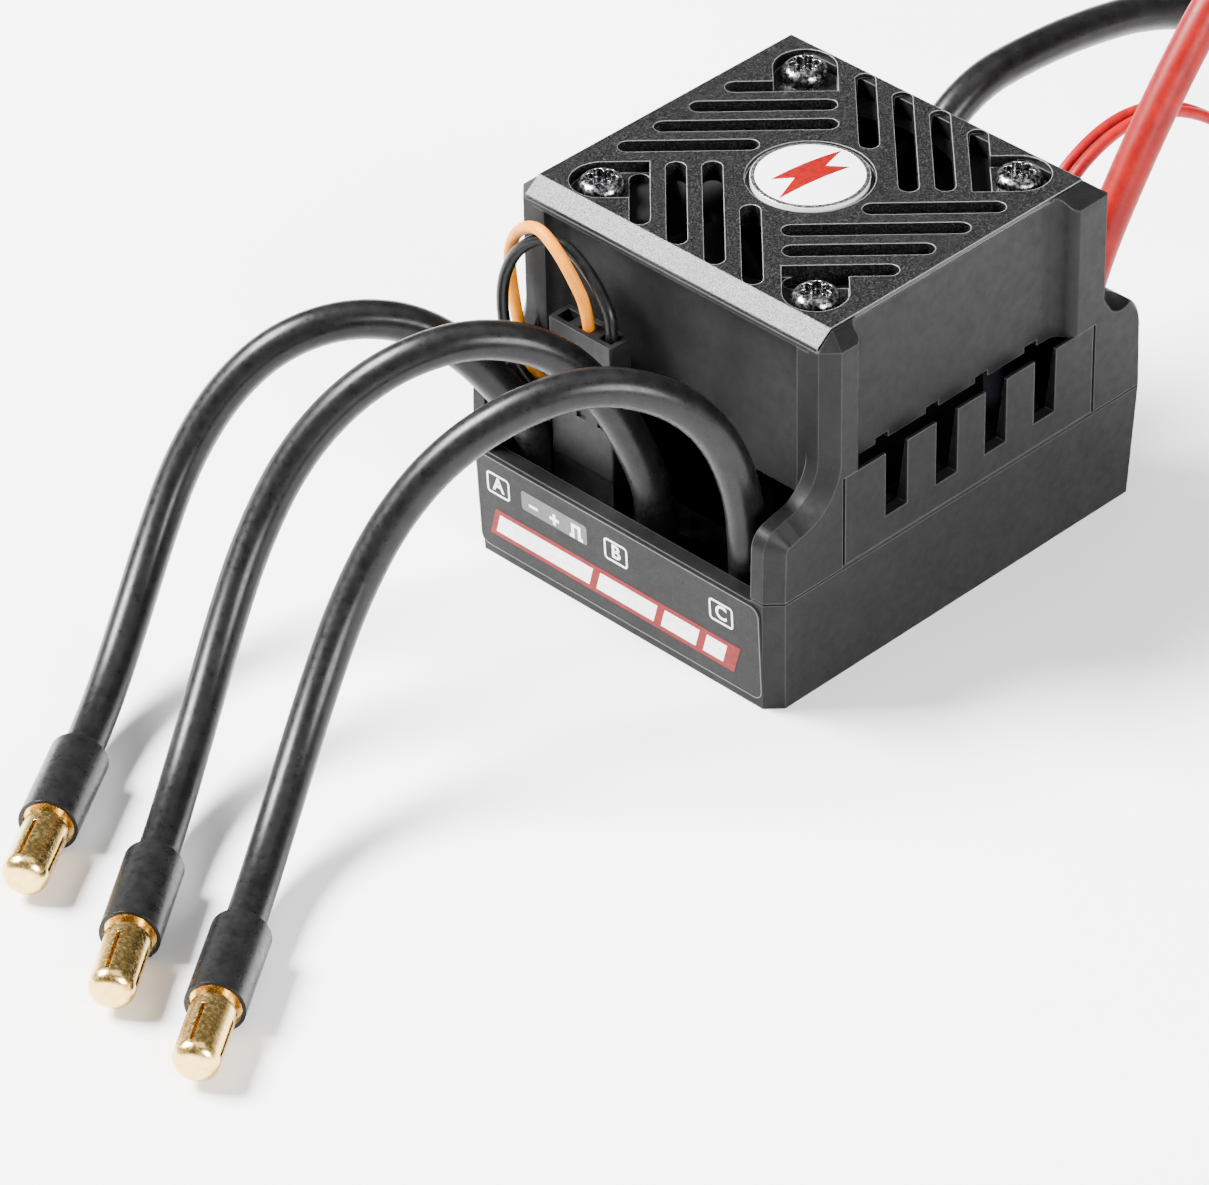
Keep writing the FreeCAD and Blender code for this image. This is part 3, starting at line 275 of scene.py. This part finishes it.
def motor_route(key):
    """A motor lead's points, from (reach, side, height) about its root."""
    (x0, y0), turn, local = MOTOR_LEADS[key]
    a = math.radians(turn)
    along = Vector((-math.sin(a), -math.cos(a), 0))
    side = Vector((math.cos(a), -math.sin(a), 0))
    return [tuple(Vector((x0, y0, z)) + along * reach + side * offset)
            for reach, offset, z in local]


def spline_object(name, points, diameter):
    """A round cord along points in metres."""
    curve = bpy.data.curves.new(name, "CURVE")
    curve.dimensions = "3D"
    curve.resolution_u = 16
    curve.bevel_depth = 1.0           # times each point's radius
    curve.bevel_resolution = 7
    curve.use_fill_caps = True
    spline = curve.splines.new("NURBS")
    spline.points.add(len(points) - 1)
    for point, place in zip(spline.points, points):
        point.co = (*place, 1)
        point.radius = diameter / 2
    spline.order_u = 3
    spline.use_endpoint_u = True
    cord = bpy.data.objects.new(name, curve)
    bpy.context.collection.objects.link(cord)
    return cord


def centre_line(cord):
    """Points along a cord's spline, as Blender draws it."""
    copy = cord.copy()
    copy.data = cord.data.copy()
    copy.data.bevel_depth = 0
    mesh = bpy.data.meshes.new_from_object(copy)
    points = [v.co.copy() for v in mesh.vertices]
    bpy.data.objects.remove(copy)
    return points


def run_length(points):
    return sum((b - a).length for a, b in zip(points, points[1:]))


cords = {}


def add_cord(node, points, diameter):
    """A cord in place of a CAD node."""
    cord = spline_object(node + "_wire", scaled(points), diameter)
    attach(cord, "root")
    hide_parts(node)
    length = run_length(centre_line(cord))
    cords[node] = cord


for key in "abc":
    add_cord("motor_lead_" + key, motor_route(key), LEAD_D)
add_cord("battery_lead_red", BATTERY_LEADS["red"], LEAD_D)
add_cord("battery_lead_black", BATTERY_LEADS["black"], LEAD_D)
for number, fitting in enumerate(("switch_body", "switch_slider")):
    route = [(x + SWITCH_PITCH * number, y, z) for x, y, z in SWITCH_LEAD]
    add_cord("switch_lead_" + str(number + 1), route, THIN_D)
for key, route in FAN_LEADS.items():
    add_cord("fan_lead_" + key, route, THIN_D)


# ---------------------------------------------------------------- materials
def case_plastic():
    """Satin black moulded nylon: fine spark texture, faint mottling, and a painted highlight along
    its edges.
    """
    g = Graph("case_plastic", (0.012, 0.012, 0.0125), 0.45)
    g.set("Specular IOR Level", 0.1)
    base = g.ramp(g.noise(2.6 * MM, 4),
                  (0.3, (0.0042, 0.0042, 0.0043)), (0.72, (0.0068, 0.0068, 0.007)))
    # Edges lightened towards grey: a painted highlight along them.
    painted_edge_highlight = g.mix(g.edges(0.2 * MM), base, (0.05, 0.05, 0.051))
    flecks = g.ramp(g.noise(0.1 * MM, 2, 0.7), (0.55, 0.0), (0.8, 0.5))
    g.colour(g.mix(flecks, painted_edge_highlight, (0.03, 0.03, 0.031)))
    g.roughness(g.spread(g.noise(0.9 * MM, 4), 0.3, 0.7, 0.38, 0.54))
    g.rounded(0.2 * MM)
    g.bump(g.noise(0.14 * MM, 3, 0.6), 0.35, 0.02 * MM)
    return g.material


def sand_plastic():
    """Spark-eroded texture: coarse bright-edged grains over black plastic, with a painted highlight
    along the part's edges.
    """
    g = Graph("sand_plastic", (0.02, 0.02, 0.021), 0.42)
    g.set("Specular IOR Level", 0.32)
    grain = g.cells(0.2 * MM)
    fine = g.noise(0.11 * MM, 3, 0.65)
    black = (0.0008, 0.0008, 0.0008)
    speckle = g.mix(0.5, g.ramp(fine, (0.54, black), (0.74, (0.13, 0.13, 0.133))),
                    g.ramp(grain, (0.05, (0.012, 0.012, 0.0125)), (0.35, black)))
    # The part's edges are lightened towards grey: a painted highlight.
    g.colour(g.mix(g.edges(0.14 * MM), speckle, (0.24, 0.24, 0.245)))
    g.roughness(g.spread(fine, 0.3, 0.7, 0.24, 0.42))
    g.rounded(0.14 * MM)
    g.bump(grain, 0.5, 0.05 * MM)
    g.bump(fine, 0.7, 0.035 * MM)
    return g.material


def silicone(name, dark, light, roughness, coat=0.0):
    """Silicone insulation: soft gloss, drag lines and a little dust."""
    g = Graph(name, light, roughness)
    g.set("Specular IOR Level", 0.16)
    g.set("Coat Weight", coat)
    g.set("Coat Roughness", 0.22)
    cloud = g.ramp(g.noise(1.4 * MM, 4), (0.35, dark), (0.75, light))
    dust = g.ramp(g.noise(0.12 * MM, 2, 0.7), (0.68, 0.0), (0.8, 0.22))
    g.colour(g.mix(dust, cloud, (0.22, 0.21, 0.2)))
    g.roughness(g.spread(g.noise(0.5 * MM, 3), 0.3, 0.75, roughness - 0.07, roughness + 0.1))
    g.bump(g.noise(0.3 * MM, 2), 0.1, 0.02 * MM)
    return g.material


def plain_plastic(name, dark, light, roughness, grain=0.2, gloss=0.5):
    """Even moulded plastic; grain is the size of its fine bumps in mm."""
    g = Graph(name, light, roughness)
    g.set("Specular IOR Level", gloss)
    g.colour(g.ramp(g.noise(1.6 * MM, 3), (0.3, dark), (0.7, light)))
    g.roughness(g.spread(g.noise(0.6 * MM, 3), 0.3, 0.7, roughness - 0.06, roughness + 0.08))
    g.rounded(0.08 * MM)
    g.bump(g.noise(grain * MM, 2), 0.15, 0.02 * MM)
    return g.material


def printed(name, dark, light):
    """Screen-printed ink: even colour with pinholes, a shade thinner at places."""
    g = Graph(name, light, 0.45)
    g.set("Specular IOR Level", 0.15)
    g.colour(g.ramp(g.noise(0.5 * MM, 4), (0.3, dark), (0.6, light)))
    g.roughness(g.spread(g.noise(0.3 * MM, 3), 0.3, 0.7, 0.38, 0.55))
    g.bump(g.noise(0.1 * MM, 2), 0.1, 0.01 * MM)
    return g.material


def label_film():
    """Charcoal film with a fine speckle."""
    g = Graph("label_film", (0.03, 0.03, 0.031), 0.5)
    g.set("Specular IOR Level", 0.08)
    base = g.ramp(g.noise(2.0 * MM, 3),
                  (0.3, (0.009, 0.009, 0.0093)), (0.7, (0.013, 0.013, 0.0133)))
    flecks = g.ramp(g.noise(0.09 * MM, 2, 0.7), (0.5, 0.0), (0.75, 0.5))
    g.colour(g.mix(flecks, base, (0.045, 0.045, 0.046)))
    g.roughness(g.spread(g.noise(0.5 * MM, 3), 0.3, 0.7, 0.42, 0.56))
    g.bump(g.noise(0.12 * MM, 2), 0.15, 0.01 * MM)
    return g.material


def badge_dome():
    """Clear-coated badge: white face that turns grey towards its rim, a painted shade where the dome
    turns down.
    """
    g = Graph("badge_dome", (0.8, 0.8, 0.81), 0.3)
    g.set("Coat Weight", 1.0)
    g.set("Coat Roughness", 0.04)
    # Grey painted along the rim: painted shade where the dome turns down.
    rim = g.edges(0.5 * MM, 0.7, 0.995)
    face = g.ramp(g.noise(3.0 * MM, 3), (0.3, (0.76, 0.76, 0.77)), (0.7, (0.86, 0.86, 0.87)))
    g.colour(g.mix(rim, face, (0.42, 0.42, 0.44)))
    g.roughness(g.spread(g.noise(1.0 * MM, 3), 0.3, 0.7, 0.2, 0.32))
    g.rounded(0.12 * MM)
    return g.material


def metal(name, dark, light, roughness):
    """Bare or plated metal with a slightly uneven finish."""
    g = Graph(name, light, roughness, 1.0)
    g.colour(g.ramp(g.noise(0.8 * MM, 4), (0.3, dark), (0.7, light)))
    g.roughness(g.spread(g.noise(0.3 * MM, 4), 0.3, 0.7, roughness - 0.08, roughness + 0.12))
    g.rounded(0.06 * MM)
    g.bump(g.noise(0.12 * MM, 2), 0.12, 0.01 * MM)
    return g.material


def nickel():
    """Black nickel on a formed screw head: dark, mottled at random, with painted highlights along
    its edges and rims.
    """
    g = Graph("black_nickel", (0.4, 0.4, 0.41), 0.24, 1.0)
    body = g.ramp(g.noise(0.35 * MM, 4, 0.6),
                  (0.42, (0.015, 0.015, 0.016)), (0.7, (0.4, 0.4, 0.41)))
    # Edges and rims lightened to a bright grey: a painted highlight.
    g.colour(g.mix(g.edges(0.14 * MM, 0.8, 0.98), body, (0.82, 0.82, 0.83)))
    g.roughness(g.spread(g.noise(0.25 * MM, 3), 0.3, 0.7, 0.16, 0.36))
    g.rounded(0.1 * MM)
    g.bump(g.noise(0.3 * MM, 3), 0.4, 0.03 * MM)
    return g.material


CASE = case_plastic()
SAND = sand_plastic()
SILICONE_BLACK = silicone("silicone_black", (0.0025, 0.0025, 0.0025), (0.0065, 0.0065, 0.0065),
                          0.33, 0.06)
THIN_BLACK = silicone("thin_black", (0.002, 0.002, 0.002), (0.005, 0.005, 0.005), 0.34, 0.06)
SILICONE_RED = silicone("silicone_red", (0.13, 0.0002, 0.0001), (0.2, 0.0004, 0.0002), 0.42)
WIRE_ORANGE = silicone("wire_orange", (0.5, 0.15, 0.0005), (0.62, 0.22, 0.001), 0.42)
WIRE_RED = silicone("wire_red", (0.2, 0.0004, 0.002), (0.3, 0.0008, 0.004), 0.38)
BLACK_PLASTIC = plain_plastic("black_plastic", (0.003, 0.003, 0.003), (0.007, 0.007, 0.007),
                              0.42, 0.2, 0.15)
# The fan's frame and rotor: black set darker than the other black plastic, as painted shade under
# the guard.
FAN_BLACK_AND_SHADE = plain_plastic("shade_plastic", (0.002, 0.002, 0.002), (0.004, 0.004, 0.004),
                              0.6, 0.2, 0.12)
EPOXY = plain_plastic("chip_epoxy", (0.01, 0.01, 0.011), (0.02, 0.02, 0.02), 0.55)
# Black potting set darker than the case plastic: its own black, deepened as painted shade in the
# wells.
RESIN = plain_plastic("potting_resin", (0.001, 0.001, 0.001), (0.002, 0.002, 0.002),
                      0.16, 2.0, 0.15)
LABEL = label_film()
BADGE = badge_dome()
BOARD = plain_plastic("circuit_board", (0.01, 0.05, 0.025), (0.015, 0.08, 0.04), 0.4)
PAD = plain_plastic("pad_silicone", (0.012, 0.013, 0.015), (0.02, 0.022, 0.025), 0.7, 0.2, 0.2)
NYLON = plain_plastic("connector_nylon", (0.1, 0.0006, 0.0004), (0.15, 0.0012, 0.0008),
                      0.45, 0.2, 0.15)
RED_PLASTIC = plain_plastic("red_plastic", (0.12, 0.0006, 0.0004), (0.17, 0.0012, 0.0008),
                            0.35, 0.2, 0.2)
SLEEVE_BLACK = plain_plastic("sleeve_black", (0.003, 0.003, 0.003), (0.007, 0.007, 0.007),
                             0.3, 0.4, 0.25)
SLEEVE_RED = plain_plastic("sleeve_red", (0.12, 0.0005, 0.0004), (0.17, 0.001, 0.0008),
                           0.32, 0.4, 0.25)
NICKEL = nickel()
ANODISED = metal("anodised_black", (0.002, 0.002, 0.002), (0.005, 0.005, 0.005), 0.5)
STEEL = metal("steel", (0.45, 0.45, 0.47), (0.6, 0.6, 0.62), 0.25)
BRONZE = metal("bronze", (0.4, 0.24, 0.1), (0.55, 0.36, 0.16), 0.35)
GOLD = metal("gold_plate", (0.72, 0.46, 0.13), (0.9, 0.64, 0.24), 0.22)
SOLDER = metal("solder", (0.5, 0.5, 0.5), (0.7, 0.7, 0.7), 0.3)
IRON = metal("core_iron", (0.05, 0.045, 0.045), (0.1, 0.08, 0.07), 0.5)
CAN_SLEEVE = plain_plastic("can_sleeve", (0.005, 0.005, 0.007), (0.009, 0.009, 0.012), 0.35)
INK_WHITE = printed("ink_white", (0.72, 0.72, 0.72), (0.86, 0.86, 0.86))
INK_RED = printed("ink_red", (0.11, 0.0001, 0.0003), (0.16, 0.0002, 0.0005))
INK_GREY = printed("ink_grey", (0.085, 0.085, 0.087), (0.105, 0.105, 0.107))

LOOKS = {
    CASE: ["lower_case", "upper_case", "side_vent_right", "side_vent_left"],
    SAND: ["fan_guard"],
    BADGE: ["badge"],
    LABEL: ["front_label"],
    NICKEL: ["guard_screws", "case_screws"],
    BLACK_PLASTIC: ["port_header", "fan_plug", "switch_body"],
    FAN_BLACK_AND_SHADE: ["fan_frame", "fan_rotor"],
    BRONZE: ["fan_bearing"],
    IRON: ["fan_stator", "fan_magnet"],
    STEEL: ["fan_shaft"],
    BOARD: ["power_board"],
    EPOXY: ["mosfets", "microcontroller", "gate_drivers"],
    PAD: ["thermal_pad"],
    ANODISED: ["heat_sink"],
    CAN_SLEEVE: ["capacitors"],
    SOLDER: ["solder_tabs"],
    RESIN: ["potting"],
    SLEEVE_BLACK: ["motor_sleeve_a", "motor_sleeve_b", "motor_sleeve_c", "battery_sleeve_black"],
    SLEEVE_RED: ["battery_sleeve_red"],
    GOLD: ["motor_bullet_a", "motor_bullet_b", "motor_bullet_c", "battery_contacts"],
    NYLON: ["battery_connector"],
    RED_PLASTIC: ["switch_slider"],
}
for material, nodes in LOOKS.items():
    for node in nodes:
        dress(node, material)
CORD_LOOKS = {               # by how the cord's name starts
    "motor": SILICONE_BLACK,
    "battery_lead_red": SILICONE_RED,
    "battery_lead_black": SILICONE_BLACK,
    "switch": WIRE_RED,
    "fan_lead_orange": WIRE_ORANGE,
    "fan_lead_black": THIN_BLACK,
}
for name, cord in cords.items():
    look = next(m for start, m in CORD_LOOKS.items() if name.startswith(start))
    cord.data.materials.append(look)


# ---------------------------------------------------------------- flat printed pieces
INK = 0.02 * MM                   # thickness of the printed ink


def slab(name, shapes, place, material, thickness=INK):
    """Thin solid pieces: each shape is an outline, or an (outer, inner) pair of equal length."""
    bm = bmesh.new()
    for shape in shapes:
        loops = shape if isinstance(shape, tuple) else (shape,)
        levels = [[[bm.verts.new(place(u, v, w)) for u, v in loop] for loop in loops]
                  for w in (0, thickness)]
        count = len(loops[0])
        for i in range(count):
            j = (i + 1) % count
            for k in range(len(loops)):
                bm.faces.new((levels[0][k][i], levels[0][k][j], levels[1][k][j], levels[1][k][i]))
            if len(loops) == 2:
                for level in levels:
                    bm.faces.new((level[0][i], level[0][j], level[1][j], level[1][i]))
        if len(loops) == 1:
            for level in levels:
                bm.faces.new(level[0])
    bmesh.ops.recalc_face_normals(bm, faces=bm.faces)
    return mesh_piece(name, bm, material)


def mesh_piece(name, bm, material):
    """Makes a fixed piece from bm and frees it."""
    mesh = bpy.data.meshes.new(name)
    bm.to_mesh(mesh)
    bm.free()
    mesh.materials.append(material)
    piece = bpy.data.objects.new(name, mesh)
    bpy.context.collection.objects.link(piece)
    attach(piece, "root")
    return piece


CORNER_STEPS = 6                  # edges in a rounded corner


def rounded_box(cx, cy, width, height, radius):
    points = []
    for k, (sx, sy) in enumerate(((1, 1), (-1, 1), (-1, -1), (1, -1))):
        for i in range(CORNER_STEPS + 1):
            a = math.pi / 2 * (k + i / CORNER_STEPS)
            points.append((cx + sx * (width / 2 - radius) + radius * math.cos(a),
                           cy + sy * (height / 2 - radius) + radius * math.sin(a)))
    return points


def frame_box(cx, cy, width, height, radius, line):
    """A rounded outline and its inner edge, line mm apart."""
    inner = rounded_box(cx, cy, width - 2 * line, height - 2 * line, radius - line)
    return rounded_box(cx, cy, width, height, radius), inner


def bar(x0, x1, y0, y1, slant=0.0):
    """A bar whose upper edge is moved right by slant."""
    return [(x0, y0), (x1, y0), (x1 + slant, y1), (x0 + slant, y1)]


# ---------------------------------------------------------------- label print
FRONT_LEAN = math.atan2(0.5, 11.7)        # the front wall leans out towards its top
LABEL_X = 17.3                            # half width of the label, mm
LABEL_Z = (0.9, 11.0)
LABEL_UP = Vector((0, -math.sin(FRONT_LEAN), math.cos(FRONT_LEAN)))
LABEL_OUT = Vector((0, -math.cos(FRONT_LEAN), -math.sin(FRONT_LEAN)))
LABEL_FOOT = Vector((0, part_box("front_label")[0][1], LABEL_Z[1] * MM)) - LABEL_UP * LABEL_Z[1] * MM
LABEL_LIFT = 0.004 * MM                   # keeps the ink clear of the film


def on_label(u, v, w):
    """u to the right and v up in mm over the label's face, w out of it in metres."""
    return LABEL_FOOT + Vector((u * MM, 0, 0)) + LABEL_UP * v * MM + LABEL_OUT * (w + LABEL_LIFT)


PHASES = {"A": -14.6, "B": 0.0, "C": 12.72}    # each phase letter's place across the label
MARK_Z = 8.25
PORT_MARK_Z = 8.05
MARK_HALF_LINE = 0.17                     # half the width of a port mark's lines
PANEL = (-7.62, 8.25, 8.1, 2.05)          # centre, width and height of the port's lighter panel


def pulse_outline():
    """A square pulse as one outline of even width."""
    x, z, t = -4.9, PORT_MARK_Z, MARK_HALF_LINE
    upper = [(-0.8, -0.6 + t), (-0.4 - t, -0.6 + t), (-0.4 - t, 0.6 + t), (0.4 + t, 0.6 + t),
             (0.4 + t, -0.6 + t), (0.8, -0.6 + t)]
    lower = [(-0.8, -0.6 - t), (-0.4 + t, -0.6 - t), (-0.4 + t, 0.6 - t), (0.4 - t, 0.6 - t),
             (0.4 - t, -0.6 - t), (0.8, -0.6 - t)]
    return [(x + u, z + v) for u, v in upper + lower[::-1]]


def plus_outline(x, z, arm, t):
    quarter = [(t, t), (t, arm), (-t, arm), (-t, t), (-arm, t), (-arm, -t), (-t, -t), (-t, -arm),
               (t, -arm), (t, -t), (arm, -t), (arm, t)]
    return [(x + u, z + v) for u, v in quarter]


def letter(char, x):
    curve = bpy.data.curves.new("phase_" + char.lower(), "FONT")
    curve.body = char
    curve.size = 2.0 * MM
    curve.offset = 0.045 * MM
    curve.extrude = INK / 2
    curve.align_x = "CENTER"
    curve.align_y = "CENTER"
    curve.materials.append(INK_WHITE)
    text = bpy.data.objects.new(curve.name, curve)
    turn = Matrix((Vector((1, 0, 0)), LABEL_UP, LABEL_OUT)).transposed().to_4x4()
    text.matrix_world = Matrix.Translation(on_label(x, MARK_Z, INK / 2)) @ turn
    bpy.context.collection.objects.link(text)
    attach(text, "root")


def make_label_print():
    slab("port_panel", [rounded_box(*PANEL, 0.3)], on_label, INK_GREY, INK / 2)
    width, height = 2 * LABEL_X - 0.1, LABEL_Z[1] - LABEL_Z[0] - 0.1
    outline = frame_box(0, sum(LABEL_Z) / 2, width, height, 1.0, 0.09)
    slab("label_outline", [outline], on_label, INK_GREY)
    frames = [frame_box(x, MARK_Z, 2.85, 2.3, 0.4, 0.2) for x in PHASES.values()]
    slab("phase_frames", frames, on_label, INK_WHITE)
    minus = bar(-10.75, -9.65, 7.9, 8.2)
    plus = plus_outline(-7.6, PORT_MARK_Z, 0.58, MARK_HALF_LINE)
    slab("port_marks", [minus, plus, pulse_outline()], on_label, INK_WHITE)
    for char, x in PHASES.items():
        letter(char, x)


def make_stripe():
    """Red band with white dashes that shorten to the right."""
    slab("stripe_band", [bar(-16.0, 14.0, 2.5, 5.5, 0.9)], on_label, INK_RED)
    dashes, x = [], -15.2
    for width in (11.6, 7.0, 4.2, 2.4):
        dashes.append(bar(x, x + width, 3.0, 5.0, 0.6))
        x += width + 0.9
    slab("stripe_dashes", dashes, on_label, INK_WHITE, 1.6 * INK)


# ---------------------------------------------------------------- badge symbol
badge_low, badge_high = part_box("badge")
BADGE_R = (badge_high[0] - badge_low[0]) / 2
DOME_H = 0.4 * MM                         # rise of the badge's dome
DOME_R = (BADGE_R ** 2 + DOME_H ** 2) / (2 * DOME_H)
SYMBOL_TURN = math.radians(43.6)          # the symbol reads upright from the front right corner
BADGE_CENTRE = Vector(((badge_low[0] + badge_high[0]) / 2, (badge_low[1] + badge_high[1]) / 2,
                       badge_high[2]))
BADGE_LIFT = 0.01 * MM                    # keeps the symbol clear of the dome
BADGE_CELLS = 8                           # cells along each edge of half the bolt
RIM_RADII = (5.2, 4.85)
RIM_SIDES = 64


def on_badge(u, v, w):
    """u to the right and v to the back in mm over the dome, w up from it in metres."""
    x, y = u * MM, v * MM
    drop = (x * x + y * y) / (2 * DOME_R)
    return BADGE_CENTRE + Vector((x, y, w - drop + BADGE_LIFT))


def patches(corners):
    """A four-sided outline as small cells, so that it follows the dome."""
    def at(i, j):
        s, t = i / BADGE_CELLS, j / BADGE_CELLS
        weights = ((1 - s) * (1 - t), s * (1 - t), s * t, (1 - s) * t)
        return tuple(sum(w * corner[axis] for w, corner in zip(weights, corners))
                     for axis in (0, 1))

    return [[at(i, j), at(i + 1, j), at(i + 1, j + 1), at(i, j + 1)]
            for i in range(BADGE_CELLS) for j in range(BADGE_CELLS)]


def make_badge_symbol():
    """A lightning bolt inside a silver rim."""
    turns = [math.tau * k / RIM_SIDES for k in range(RIM_SIDES)]
    outer, inner = ([(r * math.cos(a), r * math.sin(a)) for a in turns] for r in RIM_RADII)
    slab("badge_rim", [(outer, inner)], on_badge, STEEL)
    c, s = math.cos(SYMBOL_TURN), math.sin(SYMBOL_TURN)
    corners = ((2.7, 3.8), (1.1, 0.5), (-1.1, -0.95), (-3.4, -0.95))
    upper = [(c * u - s * v, s * u + c * v) for u, v in corners]
    slab("badge_bolt", patches(upper) + patches([(-u, -v) for u, v in upper]), on_badge, INK_RED)


# ---------------------------------------------------------------- resin round the lead roots
RESIN_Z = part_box("potting")[1][2]
LEAD_R_MM = LEAD_D / MM / 2
MENISCUS_SIDES = 40
# the resin's section at a lead: (out from the lead's surface, up from the resin's), in mm
MENISCUS = [(0.0, 0.75), (0.12, 0.42), (0.35, 0.2), (0.7, 0.07), (1.2, 0.005), (1.2, -0.1),
            (-0.1, -0.1), (-0.1, 0.75)]


def make_menisci():
    """Resin that climbs each lead where it leaves the potting."""
    roots = [motor_route(k)[0] for k in "abc"] + [BATTERY_LEADS[k][0] for k in ("red", "black")]
    bm = bmesh.new()
    for x, y, _ in roots:
        rings = []
        for k in range(MENISCUS_SIDES):
            a = math.tau * k / MENISCUS_SIDES
            uneven = 1 + 0.12 * math.sin(2 * a + x) + 0.06 * math.sin(5 * a + y)
            ring = []
            for out, up in MENISCUS:
                r = LEAD_R_MM + max(out, 0) * uneven + min(out, 0)
                ring.append(bm.verts.new(((x + math.cos(a) * r) * MM, (y + math.sin(a) * r) * MM,
                                          RESIN_Z + up * uneven * MM)))
            rings.append(ring)
        for k in range(MENISCUS_SIDES):
            near, far = rings[k], rings[(k + 1) % MENISCUS_SIDES]
            for i in range(len(MENISCUS)):
                j = (i + 1) % len(MENISCUS)
                bm.faces.new((near[i], near[j], far[j], far[i]))
    bmesh.ops.recalc_face_normals(bm, faces=bm.faces)
    for face in bm.faces:
        face.smooth = True
    mesh_piece("resin_menisci", bm, RESIN)


make_label_print()
make_stripe()
make_badge_symbol()
make_menisci()


# ---------------------------------------------------------------- stage
FLOOR_HALF = 4.0
FLOOR_DROP = 0.02 * MM                    # keeps the floor clear of the case's underside
HORIZON = (0.03, 1.0)                     # the world's grey by height: (height, grey)
OVERHEAD = (0.3, 0.1)
WORLD_STRENGTH = 1.6


def make_floor():
    mesh = bpy.data.meshes.new("floor")
    s = FLOOR_HALF
    mesh.from_pydata([(-s, -s, 0), (s, -s, 0), (s, s, 0), (-s, s, 0)], [], [(0, 1, 2, 3)])
    floor = bpy.data.objects.new("floor", mesh)
    floor.location.z = cad_low.z - FLOOR_DROP
    g = Graph("floor", (0.88, 0.88, 0.88), 0.8)
    g.colour(g.ramp(g.noise(60 * MM, 2), (0.3, (0.86, 0.86, 0.86)), (0.7, (0.9, 0.9, 0.9))))
    mesh.materials.append(g.material)
    bpy.context.collection.objects.link(floor)


def area_light(name, direction, distance, size, power):
    """A rectangular light that faces the case."""
    data = bpy.data.lights.new(name, "AREA")
    data.shape = "RECTANGLE"
    data.size, data.size_y = size
    data.energy = power
    light = bpy.data.objects.new(name, data)
    light.location = TARGET + Vector(direction).normalized() * distance
    light.rotation_euler = (TARGET - light.location).to_track_quat("-Z", "Y").to_euler()
    bpy.context.collection.objects.link(light)


def make_light():
    world = bpy.data.worlds.new("studio")
    world.use_nodes = True
    tree = world.node_tree
    place = tree.nodes.new("ShaderNodeTexCoord")
    split = tree.nodes.new("ShaderNodeSeparateXYZ")
    ramp = tree.nodes.new("ShaderNodeValToRGB")
    for element, (position, grey) in zip(ramp.color_ramp.elements, (HORIZON, OVERHEAD)):
        element.position = position
        element.color = (grey, grey, grey, 1)
    tree.links.new(place.outputs["Generated"], split.inputs["Vector"])
    tree.links.new(split.outputs["Z"], ramp.inputs["Fac"])
    tree.links.new(ramp.outputs["Color"], tree.nodes["Background"].inputs["Color"])
    tree.nodes["Background"].inputs["Strength"].default_value = WORLD_STRENGTH
    bpy.context.scene.world = world
    area_light("strip_light", (-0.569, -0.382, 0.728), 0.9, (0.42, 0.3), 72)
    area_light("top_light", (0.1, 0.2, 1), 1.1, (0.9, 0.9), 5)
    area_light("side_light", (1, -0.1, 0.5), 1.0, (0.5, 0.4), 27)


make_floor()
make_light()

bpy.context.view_layer.update()
